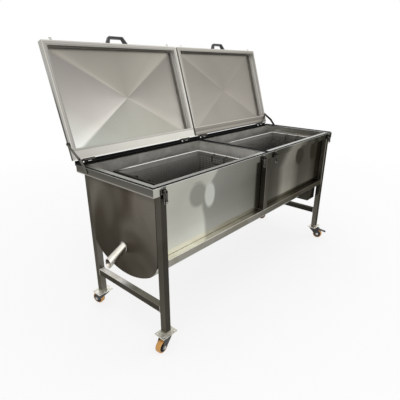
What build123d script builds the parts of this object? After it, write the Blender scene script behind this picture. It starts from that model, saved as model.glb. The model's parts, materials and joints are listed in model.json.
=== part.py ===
"""Steam wax melter: a two-compartment stainless trough on a castor frame, with hinged tray lids."""
import os
from math import atan2, cos, degrees, hypot, radians, sin, sqrt, tan

from build123d import *

os.makedirs("parts", exist_ok=True)

# Rim, sheet and square tube
RIM_LENGTH = 2000
RIM_DEPTH = 645
RIM_HEIGHT = 960
RIM_LIP = 4.5
RIM_BEND = 1.5
SHEET = 2
TUBE = 40
TUBE_WALL = 2.5
TUBE_CORNER = 4
FIT = 0.3
RUNNING = 0.05
ROD_SIDES = 8

# Trough
TROUGH_DEPTH = 590
CORNER_RADIUS = 150
BOTTOM_RADIUS = 420
DIVIDER_CLEARANCE = 10
DIVIDER_BAR = 40

# Frame
LONG_RAIL_DROP = 400
CROSS_RAIL_TOP = 278

# Gasket round each compartment
GASKET_WIDTH = 14
GASKET_HEIGHT = 6
GASKET_EDGE = 4

# Lids and hinges
LID_DEPTH = 40
LID_GAP = 17
LID_LIP = 26
LID_HINGE_LIP = 62
LID_BEND = 3
LID_OPEN = 107
CROSS_BREAK = 8
CROSS_BREAK_MARGIN = 22
HINGE_RADIUS = 8
HINGE_PIN_RADIUS = 4
HINGE_GAP = 0.5
HINGE_RISE = 14
HINGE_INSET = 92
HINGE_LEAF = 3
HINGE_LEAF_HEIGHT = 22
KNUCKLE = 24

# Lid handle
HANDLE_LENGTH = 164
HANDLE_GRIP = 104
HANDLE_HEIGHT = 46
HANDLE_BAR = 13
HANDLE_FOOT = 24
HANDLE_DEPTH = 26
HANDLE_EDGE = 4

# Folding lid stay
STAY_AHEAD = 114
STAY_BELOW_RIM = 23
STAY_LID_ALONG = 102
STAY_LID_UP = 16
LOWER_LINK = 88
KNEE_ANGLE = 164
LINK_WIDTH = 18
LINK_PLATE = 3
LINK_GAP = 0.5
RIVET_RADIUS = 4
RIVET_HEAD_RADIUS = 7
RIVET_HEAD = 2.5

# Toggle latch
LATCH_END_INSET = 64
LATCH_PLATE_WIDTH = 28
LATCH_PLATE_HEIGHT = 36
LATCH_PIVOT_OUT = 10
LATCH_PIVOT_DROP = 18
LATCH_PIN_RADIUS = 2.5
LUG_INSIDE = 4
LUG_PLATE = 2
LUG_RADIUS = 6
LEVER_PLATE = 1.5
LEVER_LENGTH = 50
LEVER_DEPTH = 12
LEVER_WEB_START = 8
LEVER_TAB = 4
BAIL_OUT = 14
BAIL_DROP = 28
BAIL_LENGTH = 52
BAIL_WIRE = 3
BAIL_BEND = 2.5
KEEPER_WIDTH = 14
KEEPER_LIP = 7
KEEPER_CLEARANCE = 0.4

# Baskets
BASKET_LENGTH = 740
BASKET_WIDTH = 444
BASKET_BELOW_RIM = 52
BASKET_DEPTH = 306
BASKET_RIM = 12
BASKET_RIM_DEPTH = 10
BASKET_SHEET = 2
BASKET_LEFT_X = -460
BASKET_RIGHT_X = 570
PERFORATION = 34
PERFORATION_PITCH = 92
STIRRUP_WIDTH = 104
STIRRUP_DROP = 62
STIRRUP_REACH = 30
STIRRUP_ROD = 8
STIRRUP_BEND = 12

# Basket bars and wax trays
BAR_WIDTH = 20
BAR_HEIGHT = 14
BAR_WALL = 2
BAR_SPAN = 500
TRAY_WIDTH = 440
TRAY_RISE = 25
TRAY_FALL = 34

# Wax spouts
SPOUT_RADIUS = 25
SPOUT_RISE = 170
SPOUT_REACH = 108
SPOUT_ANGLE = 29

# Heating element and its terminal box
ELEMENT_RISE = 60
ELEMENT_ROD = 10
ELEMENT_END = 850
ELEMENT_SPACING = 80
ELEMENT_BEND = 35
ELEMENT_PITCH = 60
SOCKET_RADIUS = 15
SOCKET_STANDING = 10
HEAD_ACROSS = 36
HEAD_LENGTH = 14
SUPPORT_WIDTH = 130
SUPPORT_SPAN = 640
BOX_LENGTH = 123
BOX_LEFT = 782
BOX_DEPTH = 111
BOX_CLEARANCE = 20
BOX_SETBACK = 4.5
GLAND_HOLE_RADIUS = 10.2
GLAND_HEIGHT = 34
GLAND_FROM_FRONT = 32

# Castors
PLATE_LENGTH = 105
PLATE_WIDTH = 75
PLATE_THICKNESS = 4
PLATE_SLOT_LENGTH = 80
PLATE_SLOT_WIDTH = 55
SLOT_OVERALL = 13
SLOT_WIDE = 9
WHEEL_RADIUS = 37.5
WHEEL_WIDTH = 32
CORE_RADIUS = 30
TYRE_EDGE = 4
HUB_WIDTH = 36
HUB_RADIUS = 14
WEB_WIDTH = 12
RIM_INSIDE_RADIUS = 25
AXLE_RADIUS = 5
AXLE_HEAD_RADIUS = 8
AXLE_HEAD = 5
TRAIL = 40
RACE_RADIUS = 30
RACE_DEPTH = 8
CASTOR_HEADROOM = 30
CROWN_CUP = 2.7
CROWN_PLATE = 3
KINGPIN_RADIUS = 6
KINGPIN_NUT_RADIUS = 10
KINGPIN_NUT = 5.5
FORK_GAP = 1.5
FORK_PLATE = 3
FORK_SHOULDER = 66
FORK_END_RADIUS = 18
PEDAL_PIVOT_OUT = 46
PEDAL_PIVOT_DROP = 8
PEDAL_PIVOT_RADIUS = 3
PEDAL_BARREL = 4.5
PEDAL_REACH = 112
PEDAL_WIDTH = 28
PEDAL_PLATE = 5
PEDAL_TILT = 14
PEDAL_PRESS = 10
CASTOR_HEADINGS = {
    "front_left": 186,
    "back_left": 105,
    "front_right": -75,
    "back_right": -30,
}
BRAKED = ("front_right", "back_right")

# Places that follow from the sizes above
RAIL_OUT_X = RIM_LENGTH / 2 - SHEET
RAIL_OUT_Y = RIM_DEPTH / 2 - SHEET
RAIL_X = RAIL_OUT_X - TUBE / 2
RAIL_Y = RAIL_OUT_Y - TUBE / 2
RAIL_TOP = RIM_HEIGHT - SHEET
RAIL_BOTTOM = RAIL_TOP - TUBE
LONG_RAIL_TOP = RIM_HEIGHT - LONG_RAIL_DROP
FOOT_HEIGHT = 2 * WHEEL_RADIUS + CASTOR_HEADROOM
TROUGH_END = RAIL_OUT_X - TUBE
TROUGH_HALF = RAIL_OUT_Y - TUBE
TROUGH_INSIDE = TROUGH_HALF - SHEET
LEG_X = TROUGH_END - TUBE / 2
TROUGH_BOTTOM = RIM_HEIGHT - TROUGH_DEPTH
CORNER_Y = TROUGH_HALF - CORNER_RADIUS
BOTTOM_CENTRE_Z = TROUGH_BOTTOM + BOTTOM_RADIUS
CORNER_Z = BOTTOM_CENTRE_Z - sqrt((BOTTOM_RADIUS - CORNER_RADIUS) ** 2 - CORNER_Y**2)
SPOUT_BORE = SPOUT_RADIUS - SHEET
CORNER_SWEEP = degrees(atan2(BOTTOM_CENTRE_Z - CORNER_Z, CORNER_Y))
BASKET_RIM_TOP = RIM_HEIGHT - BASKET_BELOW_RIM
BASKET_FLOOR = BASKET_RIM_TOP - BASKET_DEPTH
SPOUT_HEIGHT = TROUGH_BOTTOM + SPOUT_RISE
ELEMENT_HEIGHT = TROUGH_BOTTOM + ELEMENT_RISE
DIVIDER_FOOT = ELEMENT_HEIGHT + ELEMENT_ROD + DIVIDER_CLEARANCE
BOX_BOTTOM = ELEMENT_HEIGHT - HEAD_ACROSS / 2 - BOX_CLEARANCE

HINGE_Y = RIM_DEPTH / 2 + HINGE_RADIUS + HINGE_GAP
HINGE_Z = RIM_HEIGHT + HINGE_RISE
HINGE_WIDTH = 3 * KNUCKLE + 2 * FIT
LID_LENGTH = (RIM_LENGTH - LID_GAP) / 2
LID_X = (RIM_LENGTH + LID_GAP) / 4
LID_BASE = GASKET_HEIGHT + FIT - HINGE_RISE
LID_TOP = LID_BASE + LID_DEPTH
LID_BACK = RIM_DEPTH / 2 - HINGE_Y
LID_FRONT = -RIM_DEPTH / 2 - HINGE_Y
LID_MIDDLE = -HINGE_Y

FRONT_HEADING = radians(CASTOR_HEADINGS["front_right"])
PEDAL_TIP = PEDAL_PIVOT_OUT + (PEDAL_REACH - PEDAL_PIVOT_OUT) * cos(radians(PEDAL_TILT))
FRONT_REACH = RAIL_Y + PEDAL_TIP * abs(sin(FRONT_HEADING)) + PEDAL_WIDTH / 2 * abs(cos(FRONT_HEADING))
BACK_REACH = HINGE_Y + LID_FRONT * cos(radians(LID_OPEN)) + LID_TOP * sin(radians(LID_OPEN))
MID_Y = (FRONT_REACH - BACK_REACH) / 2

SIDES = {"left": -1, "right": 1}
ENDS = {"front": -1, "back": 1}


def level(z, x=0.0, y=0.0):
    """Horizontal plane at height z, placed from the trough's middle."""
    return Plane(origin=(x, y + MID_Y, z))


def end_on(x, y=0.0, z=0.0):
    """Upright plane that faces +X, with sketch axes Y and Z."""
    return Plane(origin=(x, y + MID_Y, z), x_dir=(0, 1, 0), z_dir=(1, 0, 0))


def face_on(y, x=0.0, z=0.0):
    """Upright plane that faces the front, -Y, with sketch axes X and Z."""
    return Plane(origin=(x, y + MID_Y, z), x_dir=(1, 0, 0), z_dir=(0, -1, 0))


LID = Plane(
    origin=(0, HINGE_Y + MID_Y, HINGE_Z),
    x_dir=(1, 0, 0),
    z_dir=(0, sin(radians(LID_OPEN)), cos(radians(LID_OPEN))),
)


def lid_end_on(x):
    """Plane across the open lid that faces +X, with sketch axes along the lid and out of it."""
    return Plane(origin=(x, HINGE_Y + MID_Y, HINGE_Z), x_dir=LID.y_dir, z_dir=(1, 0, 0))


def write(piece, label):
    """Labels a finished piece and writes its STEP file."""
    piece.label = label
    export_step(piece, f"parts/{label}.step")


def trough_face(plane, inset, top):
    """The trough's U as a face, drawn in by inset and closed by a straight line at height top."""
    half = TROUGH_HALF - inset
    corner = CORNER_RADIUS - inset
    bottom = BOTTOM_RADIUS - inset
    with BuildSketch(plane) as section:
        with BuildLine():
            Line((half, top), (half, CORNER_Z))
            CenterArc((CORNER_Y, CORNER_Z), corner, 0, -CORNER_SWEEP)
            CenterArc((0, BOTTOM_CENTRE_Z), bottom, -CORNER_SWEEP, 2 * CORNER_SWEEP - 180)
            CenterArc((-CORNER_Y, CORNER_Z), corner, CORNER_SWEEP - 180, -CORNER_SWEEP)
            Line((-half, CORNER_Z), (-half, top))
            Line((-half, top), (half, top))
        make_face()
    return section.sketch


def trough_reach(z):
    """Half the trough's outer width at height z."""
    corner_foot = BOTTOM_CENTRE_Z - BOTTOM_RADIUS * sin(radians(CORNER_SWEEP))
    if z > CORNER_Z:
        return TROUGH_HALF
    if z > corner_foot:
        return CORNER_Y + sqrt(CORNER_RADIUS**2 - (CORNER_Z - z) ** 2)
    return sqrt(BOTTOM_RADIUS**2 - (BOTTOM_CENTRE_Z - z) ** 2)


def square_tube(plane, length):
    """A square tube that starts on plane and runs along its normal."""
    with BuildPart() as tube:
        with BuildSketch(plane):
            RectangleRounded(TUBE, TUBE, TUBE_CORNER)
            bore = TUBE - 2 * TUBE_WALL
            Rectangle(bore, bore, mode=Mode.SUBTRACT)
        extrude(amount=length)
    return tube.part


# Frame of square tube
for end, way in ENDS.items():
    rail_start = end_on(-RAIL_OUT_X, way * RAIL_Y, RAIL_TOP - TUBE / 2)
    write(square_tube(rail_start, 2 * RAIL_OUT_X), f"top_rail_{end}")
    for side, sign in SIDES.items():
        leg = square_tube(level(FOOT_HEIGHT, sign * LEG_X, way * RAIL_Y), RAIL_BOTTOM - FOOT_HEIGHT)
        write(leg, f"leg_{end}_{side}")

with BuildPart() as long_rails:
    for way in ENDS.values():
        add(square_tube(end_on(TUBE / 2 - LEG_X, way * RAIL_Y, LONG_RAIL_TOP - TUBE / 2), 2 * LEG_X - TUBE))
write(long_rails.part, "long_rails")

with BuildPart() as mid_posts:
    for way in ENDS.values():
        add(square_tube(level(LONG_RAIL_TOP, 0, way * RAIL_Y), RAIL_BOTTOM - LONG_RAIL_TOP))
write(mid_posts.part, "mid_posts")

with BuildPart() as cross_rails:
    for sign in SIDES.values():
        add(square_tube(face_on(TROUGH_HALF, sign * LEG_X, CROSS_RAIL_TOP - TUBE / 2), 2 * TROUGH_HALF))
write(cross_rails.part, "cross_rails")

STAY_Y = HINGE_Y - STAY_AHEAD
STAY_Z = RIM_HEIGHT - STAY_BELOW_RIM
with BuildPart() as end_rails:
    for sign in SIDES.values():
        add(square_tube(face_on(TROUGH_HALF, sign * RAIL_X, RAIL_TOP - TUBE / 2), 2 * TROUGH_HALF))
        with BuildSketch(end_on(sign * RAIL_OUT_X, STAY_Y, STAY_Z)):
            Circle(RIVET_RADIUS + RUNNING)
        extrude(amount=-sign * TUBE / 2, mode=Mode.SUBTRACT)
write(end_rails.part, "end_rails")

# Trough shell, ends and divider
SOCKET_INSIDE = trough_reach(ELEMENT_HEIGHT - SOCKET_RADIUS) - SHEET - SOCKET_STANDING
SOCKET_OUTSIDE = trough_reach(ELEMENT_HEIGHT + SOCKET_RADIUS) + SOCKET_STANDING
SOCKETS_X = [BOX_LEFT + BOX_LENGTH / 2 - ELEMENT_PITCH / 2, BOX_LEFT + BOX_LENGTH / 2 + ELEMENT_PITCH / 2]
with BuildPart() as shell:
    extrude(trough_face(end_on(SHEET - TROUGH_END), 0, RAIL_TOP), amount=2 * (TROUGH_END - SHEET))
    extrude(
        trough_face(end_on(SHEET - TROUGH_END), SHEET, RAIL_TOP + SHEET),
        amount=2 * (TROUGH_END - SHEET),
        mode=Mode.SUBTRACT,
    )
    with BuildSketch(face_on(-SOCKET_INSIDE, 0, ELEMENT_HEIGHT)):
        with Locations(*[(x, 0) for x in SOCKETS_X]):
            Circle(SOCKET_RADIUS + RUNNING)
    extrude(amount=TROUGH_HALF - SOCKET_INSIDE, mode=Mode.SUBTRACT)
write(shell.part, "trough_shell")


def spout_plane(sign):
    """Plane across a spout where it leaves the trough's end, facing down the spout."""
    slope = radians(SPOUT_ANGLE)
    return Plane(
        origin=(sign * TROUGH_END, MID_Y, SPOUT_HEIGHT),
        x_dir=(0, 1, 0),
        z_dir=(sign * cos(slope), 0, -sin(slope)),
    )


for side, sign in SIDES.items():
    with BuildPart() as end_panel:
        extrude(trough_face(end_on(sign * TROUGH_END), 0, RAIL_TOP), amount=-sign * SHEET)
        with BuildSketch(spout_plane(sign)):
            Circle(SPOUT_RADIUS + RUNNING)
        extrude(amount=SPOUT_RADIUS * 2, both=True, mode=Mode.SUBTRACT)
    write(end_panel.part, f"trough_end_{side}")

    with BuildPart() as spout:
        with BuildSketch(spout_plane(sign)):
            Circle(SPOUT_RADIUS)
            Circle(SPOUT_BORE, mode=Mode.SUBTRACT)
        extrude(amount=SPOUT_REACH * 2, both=True)
        inner_cut = end_on(sign * (TROUGH_END - SHEET))
        mouth_cut = end_on(sign * (TROUGH_END + SPOUT_REACH))
        split(bisect_by=inner_cut, keep=Keep.TOP if sign > 0 else Keep.BOTTOM)
        split(bisect_by=mouth_cut, keep=Keep.BOTTOM if sign > 0 else Keep.TOP)
    write(spout.part, f"wax_spout_{side}")

with BuildPart() as divider:
    extrude(trough_face(end_on(-SHEET / 2), SHEET + FIT, RAIL_TOP), amount=SHEET)
    split(bisect_by=level(DIVIDER_FOOT), keep=Keep.TOP)
write(divider.part, "divider")

# Rim cap and gaskets
OPENING_LENGTH = TROUGH_END - RIM_LIP - DIVIDER_BAR / 2
OPENING_X = DIVIDER_BAR / 2 + OPENING_LENGTH / 2
with BuildPart() as rim:
    with BuildSketch(level(RAIL_BOTTOM)):
        Rectangle(RIM_LENGTH, RIM_DEPTH)
    extrude(amount=RIM_HEIGHT - RAIL_BOTTOM)
    with BuildSketch(level(RAIL_BOTTOM)):
        Rectangle(RIM_LENGTH - 2 * SHEET, RIM_DEPTH - 2 * SHEET)
    extrude(amount=RAIL_TOP - RAIL_BOTTOM, mode=Mode.SUBTRACT)
    with BuildSketch(level(RAIL_TOP)):
        with Locations((-OPENING_X, 0), (OPENING_X, 0)):
            Rectangle(OPENING_LENGTH, 2 * (TROUGH_HALF - RIM_LIP))
    extrude(amount=SHEET, mode=Mode.SUBTRACT)
    fillet(rim.faces().sort_by(Axis.Z)[-1].outer_wire().edges(), RIM_BEND)
    with BuildSketch(end_on(-RIM_LENGTH / 2, STAY_Y, STAY_Z)):
        Circle(RIVET_RADIUS + RUNNING)
    extrude(amount=RIM_LENGTH, mode=Mode.SUBTRACT)
write(rim.part, "rim_cap")

GASKET_LENGTH = RIM_LENGTH / 2 - GASKET_EDGE - (DIVIDER_BAR / 2 - GASKET_WIDTH) / 2
GASKET_X = RIM_LENGTH / 2 - GASKET_EDGE - GASKET_LENGTH / 2
with BuildPart() as gaskets:
    for sign in SIDES.values():
        with BuildSketch(level(RIM_HEIGHT, sign * GASKET_X)):
            Rectangle(GASKET_LENGTH, RIM_DEPTH - 2 * GASKET_EDGE)
            Rectangle(
                GASKET_LENGTH - 2 * GASKET_WIDTH,
                RIM_DEPTH - 2 * GASKET_EDGE - 2 * GASKET_WIDTH,
                mode=Mode.SUBTRACT,
            )
        extrude(amount=GASKET_HEIGHT)
write(gaskets.part, "lid_gaskets")

# Bars under the baskets, and the wax trays below them
with BuildPart() as bars:
    with BuildSketch(face_on(TROUGH_INSIDE - FIT, 0, BASKET_FLOOR - FIT - BAR_HEIGHT / 2)):
        for basket_x in (BASKET_LEFT_X, BASKET_RIGHT_X):
            with Locations((basket_x - BAR_SPAN / 2, 0), (basket_x + BAR_SPAN / 2, 0)):
                Rectangle(BAR_WIDTH, BAR_HEIGHT)
                Rectangle(BAR_WIDTH - 2 * BAR_WALL, BAR_HEIGHT - 2 * BAR_WALL, mode=Mode.SUBTRACT)
    extrude(amount=2 * (TROUGH_INSIDE - FIT))
write(bars.part, "basket_bars")

SPOUT_SILL = SPOUT_HEIGHT + SHEET * tan(radians(SPOUT_ANGLE)) - SPOUT_BORE / cos(radians(SPOUT_ANGLE))
TRAY_LOW = SPOUT_SILL - SHEET
TRAY_LENGTH = TROUGH_END - 1.5 * SHEET - 2 * FIT
with BuildPart() as trays:
    for sign in SIDES.values():
        with BuildSketch(end_on(sign * (TROUGH_END - SHEET - FIT), 0, TRAY_LOW)):
            with BuildLine():
                Polyline(
                    (-TRAY_WIDTH / 2, TRAY_RISE),
                    (-TRAY_WIDTH / 2, TRAY_RISE + SHEET),
                    (0, SHEET),
                    (TRAY_WIDTH / 2, TRAY_RISE + SHEET),
                    (TRAY_WIDTH / 2, TRAY_RISE),
                    (0, 0),
                    close=True,
                )
            make_face()
        extrude(amount=hypot(TRAY_LENGTH, TRAY_FALL), dir=(-sign * TRAY_LENGTH, 0, TRAY_FALL))
write(trays.part, "wax_trays")

# Heating element, its supports and its terminal box
FIRST_X, LAST_X = SOCKETS_X
with BuildPart() as element:
    with BuildLine(level(ELEMENT_HEIGHT)) as run:
        FilletPolyline(
            (FIRST_X, -SOCKET_INSIDE),
            (FIRST_X, -ELEMENT_SPACING / 2),
            (-ELEMENT_END, -ELEMENT_SPACING / 2),
            (-ELEMENT_END, ELEMENT_SPACING / 2),
            (LAST_X, ELEMENT_SPACING / 2),
            (LAST_X, -SOCKET_INSIDE),
            radius=ELEMENT_BEND,
        )
    with BuildSketch(face_on(-SOCKET_INSIDE, FIRST_X, ELEMENT_HEIGHT)):
        RegularPolygon(ELEMENT_ROD / 2, ROD_SIDES)
    sweep(path=run.wires()[0])
    with BuildSketch(face_on(-SOCKET_INSIDE, 0, ELEMENT_HEIGHT)):
        with Locations((FIRST_X, 0), (LAST_X, 0)):
            Circle(SOCKET_RADIUS)
    extrude(amount=SOCKET_OUTSIDE - SOCKET_INSIDE)
    with BuildSketch(face_on(-SOCKET_OUTSIDE, 0, ELEMENT_HEIGHT)):
        with Locations((FIRST_X, 0), (LAST_X, 0)):
            RegularPolygon(HEAD_ACROSS / 2, 6, major_radius=False)
    extrude(amount=HEAD_LENGTH)
write(element.part, "heating_element")

with BuildPart() as supports:
    for support_x in (-SUPPORT_SPAN, 0, SUPPORT_SPAN):
        extrude(trough_face(end_on(support_x), SHEET + FIT, RAIL_TOP), amount=SHEET)
    with BuildSketch(level(TROUGH_BOTTOM)):
        Rectangle(RIM_LENGTH, SUPPORT_WIDTH)
    extrude(amount=ELEMENT_HEIGHT + ELEMENT_ROD - TROUGH_BOTTOM, mode=Mode.INTERSECT)
    with BuildSketch(end_on(-RIM_LENGTH / 2, 0, ELEMENT_HEIGHT)):
        with Locations((-ELEMENT_SPACING / 2, 0), (ELEMENT_SPACING / 2, 0)):
            Circle(ELEMENT_ROD / 2 + FIT)
    extrude(amount=RIM_LENGTH, mode=Mode.SUBTRACT)
write(supports.part, "element_supports")

BOX_FRONT = BOX_SETBACK - TROUGH_HALF
BOX_X = BOX_LEFT + BOX_LENGTH / 2
with BuildPart() as box:
    with BuildSketch(level(BOX_BOTTOM, BOX_X, BOX_FRONT + BOX_DEPTH / 2)):
        Rectangle(BOX_LENGTH, BOX_DEPTH)
    extrude(amount=CORNER_Z - BOX_BOTTOM)
    with BuildSketch(level(BOX_BOTTOM + SHEET, BOX_X, BOX_FRONT + BOX_DEPTH / 2)):
        Rectangle(BOX_LENGTH - 2 * SHEET, BOX_DEPTH - 2 * SHEET)
    extrude(amount=CORNER_Z - BOX_BOTTOM, mode=Mode.SUBTRACT)
    extrude(trough_face(end_on(BOX_LEFT), -FIT, RAIL_TOP), amount=BOX_LENGTH, mode=Mode.SUBTRACT)
    gland = end_on(BOX_LEFT + BOX_LENGTH, BOX_FRONT + GLAND_FROM_FRONT, BOX_BOTTOM + GLAND_HEIGHT)
    with BuildSketch(gland):
        Circle(GLAND_HOLE_RADIUS)
    extrude(amount=-BOX_LENGTH / 2, mode=Mode.SUBTRACT)
write(box.part, "terminal_box")

# Hinges: the fixed halves with their pins
HINGES_X = {side: [sign * LID_X - LID_LENGTH / 2 + HINGE_INSET, sign * LID_X + LID_LENGTH / 2 - HINGE_INSET]
            for side, sign in SIDES.items()}
LEAF_TOP = HINGE_Z - HINGE_RADIUS - HINGE_GAP
with BuildPart() as rim_hinges:
    for hinge_x in HINGES_X["left"] + HINGES_X["right"]:
        start = hinge_x - HINGE_WIDTH / 2
        with BuildSketch(end_on(start, RIM_DEPTH / 2, LEAF_TOP)):
            Rectangle(HINGE_LEAF, HINGE_LEAF_HEIGHT, align=(Align.MIN, Align.MAX))
        extrude(amount=HINGE_WIDTH)
        for knuckle_start in (start, start + HINGE_WIDTH - KNUCKLE):
            with BuildSketch(end_on(knuckle_start, HINGE_Y, HINGE_Z)):
                with Locations((RIM_DEPTH / 2 - HINGE_Y + FIT, LEAF_TOP - HINGE_Z)):
                    Rectangle(HINGE_LEAF - FIT, HINGE_Z - LEAF_TOP, align=Align.MIN)
                Circle(HINGE_RADIUS)
            extrude(amount=KNUCKLE)
        with BuildSketch(end_on(start, HINGE_Y, HINGE_Z)):
            Circle(HINGE_PIN_RADIUS)
        extrude(amount=HINGE_WIDTH)
write(rim_hinges.part, "rim_hinges")

# Lids: folded trays with a cross-broken panel and lips turned in
GRIP_INSIDE = HANDLE_GRIP / 2 - HANDLE_BAR / 2
BOW_INSIDE = LID_FRONT - HANDLE_HEIGHT + HANDLE_BAR
for side, sign in SIDES.items():
    with BuildPart() as lid:
        with BuildSketch(LID.offset(LID_BASE)):
            with Locations((sign * LID_X, LID_MIDDLE)):
                Rectangle(LID_LENGTH, RIM_DEPTH)
        extrude(amount=LID_DEPTH)
        outer_panel = lid.faces().sort_by(Axis(LID.origin, LID.z_dir))[-1]
        fillet(outer_panel.outer_wire().edges(), LID_BEND)
        with BuildSketch(LID.offset(LID_BASE + SHEET)):
            with Locations((sign * LID_X, LID_MIDDLE)):
                Rectangle(LID_LENGTH - 2 * SHEET, RIM_DEPTH - 2 * SHEET)
        extrude(amount=LID_DEPTH - 2 * SHEET, mode=Mode.SUBTRACT)
        with BuildSketch(LID.offset(LID_BASE)):
            with Locations((sign * LID_X, LID_MIDDLE + (LID_LIP - LID_HINGE_LIP) / 2)):
                Rectangle(LID_LENGTH - 2 * LID_LIP, RIM_DEPTH - LID_LIP - LID_HINGE_LIP)
        extrude(amount=SHEET, mode=Mode.SUBTRACT)
        for height, mode in ((LID_TOP, Mode.ADD), (LID_TOP - SHEET, Mode.SUBTRACT)):
            with BuildSketch(LID.offset(height)) as panel:
                with Locations((sign * LID_X, LID_MIDDLE)):
                    Rectangle(LID_LENGTH - 2 * CROSS_BREAK_MARGIN, RIM_DEPTH - 2 * CROSS_BREAK_MARGIN)
            peak = LID.from_local_coords((sign * LID_X, LID_MIDDLE, height + CROSS_BREAK))
            loft(sections=[panel.sketch.face(), Vertex(peak.X, peak.Y, peak.Z)], mode=mode)
    write(lid.part, f"lid_{side}")

    with BuildPart() as handle:
        with BuildSketch(LID.offset(LID_BASE + (LID_DEPTH - HANDLE_DEPTH) / 2)) as bow:
            with BuildLine():
                Polyline(
                    (sign * LID_X - HANDLE_LENGTH / 2, LID_FRONT),
                    (sign * LID_X - HANDLE_GRIP / 2, LID_FRONT - HANDLE_HEIGHT),
                    (sign * LID_X + HANDLE_GRIP / 2, LID_FRONT - HANDLE_HEIGHT),
                    (sign * LID_X + HANDLE_LENGTH / 2, LID_FRONT),
                    (sign * LID_X + HANDLE_LENGTH / 2 - HANDLE_FOOT, LID_FRONT),
                    (sign * LID_X + GRIP_INSIDE, BOW_INSIDE),
                    (sign * LID_X - GRIP_INSIDE, BOW_INSIDE),
                    (sign * LID_X - HANDLE_LENGTH / 2 + HANDLE_FOOT, LID_FRONT),
                    close=True,
                )
            make_face()
        extrude(amount=HANDLE_DEPTH)
        corners = handle.edges().filter_by(Axis(LID.origin, LID.z_dir)).sort_by(Axis(LID.origin, LID.y_dir))
        fillet(corners[:4], HANDLE_BAR / 2)
        faces_out = handle.faces().sort_by(Axis(LID.origin, LID.z_dir))
        for flank in (faces_out[0], faces_out[-1]):
            foot_edges = flank.edges().sort_by(Axis(LID.origin, LID.y_dir))[-2:]
            fillet([edge for edge in flank.edges() if edge not in foot_edges], HANDLE_EDGE)
    write(handle.part, f"lid_{side}_handle")


# Folding stays, opened out straight beside the raised lids
def stay_knee(lid_y, lid_z):
    """The point where the two links meet, for a lid pivot at the given place."""
    reach = hypot(lid_y - STAY_Y, lid_z - STAY_Z)
    along = (LOWER_LINK**2 - UPPER_LINK**2 + reach**2) / (2 * reach)
    aside = sqrt(LOWER_LINK**2 - along**2)
    way_y = (lid_y - STAY_Y) / reach
    way_z = (lid_z - STAY_Z) / reach
    return STAY_Y + along * way_y - aside * way_z, STAY_Z + along * way_z + aside * way_y


def stay_lid_pivot(opening):
    """Where the stay's pivot on the lid lies, with the lid opened by the given angle."""
    turn = radians(opening)
    along = -STAY_LID_ALONG * cos(turn) + STAY_LID_UP * sin(turn)
    rise = STAY_LID_ALONG * sin(turn) + STAY_LID_UP * cos(turn)
    return HINGE_Y + along, HINGE_Z + rise


LID_PIVOT = stay_lid_pivot(LID_OPEN)
STAY_REACH = hypot(LID_PIVOT[0] - STAY_Y, LID_PIVOT[1] - STAY_Z)
KNEE_TURN = radians(KNEE_ANGLE)
UPPER_LINK = LOWER_LINK * cos(KNEE_TURN) + sqrt(STAY_REACH**2 - (LOWER_LINK * sin(KNEE_TURN)) ** 2)
KNEE = stay_knee(*LID_PIVOT)
LOWER_FACE = RIM_LENGTH / 2 + LINK_GAP
UPPER_FACE = LOWER_FACE + LINK_PLATE + LINK_GAP
LOWER_TILT = degrees(atan2(KNEE[1] - STAY_Z, KNEE[0] - STAY_Y))
UPPER_TILT = degrees(atan2(LID_PIVOT[1] - KNEE[1], LID_PIVOT[0] - KNEE[0]))
for side, sign in SIDES.items():
    with BuildPart() as lower_link:
        with BuildSketch(end_on(sign * LOWER_FACE, (STAY_Y + KNEE[0]) / 2, (STAY_Z + KNEE[1]) / 2)):
            SlotCenterToCenter(LOWER_LINK, LINK_WIDTH, rotation=LOWER_TILT)
        extrude(amount=sign * LINK_PLATE)
        with BuildSketch(end_on(sign * LOWER_FACE, STAY_Y, STAY_Z)):
            Circle(RIVET_RADIUS)
        extrude(amount=-sign * (LINK_GAP + SHEET + TUBE_WALL))
        with BuildSketch(end_on(sign * (LOWER_FACE + LINK_PLATE), KNEE[0], KNEE[1])):
            Circle(RIVET_RADIUS)
        extrude(amount=sign * (LINK_PLATE + 2 * LINK_GAP))
        with BuildSketch(end_on(sign * (UPPER_FACE + LINK_PLATE + LINK_GAP), KNEE[0], KNEE[1])):
            Circle(RIVET_HEAD_RADIUS)
        extrude(amount=sign * RIVET_HEAD)
    write(lower_link.part, f"stay_{side}_lower_link")

    with BuildPart() as upper_link:
        middle_y = (LID_PIVOT[0] + KNEE[0]) / 2
        middle_z = (LID_PIVOT[1] + KNEE[1]) / 2
        with BuildSketch(end_on(sign * UPPER_FACE, middle_y, middle_z)):
            SlotCenterToCenter(UPPER_LINK, LINK_WIDTH, rotation=UPPER_TILT)
        extrude(amount=sign * LINK_PLATE)
        with BuildSketch(end_on(sign * UPPER_FACE, KNEE[0], KNEE[1])):
            Circle(RIVET_RADIUS + RUNNING)
        extrude(amount=sign * LINK_PLATE, mode=Mode.SUBTRACT)
        with BuildSketch(end_on(sign * (RIM_LENGTH / 2 + FIT), *LID_PIVOT)):
            Circle(RIVET_HEAD_RADIUS)
        extrude(amount=sign * (UPPER_FACE + LINK_PLATE + RIVET_HEAD - RIM_LENGTH / 2 - FIT))
    write(upper_link.part, f"stay_{side}_upper_link")

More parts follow.
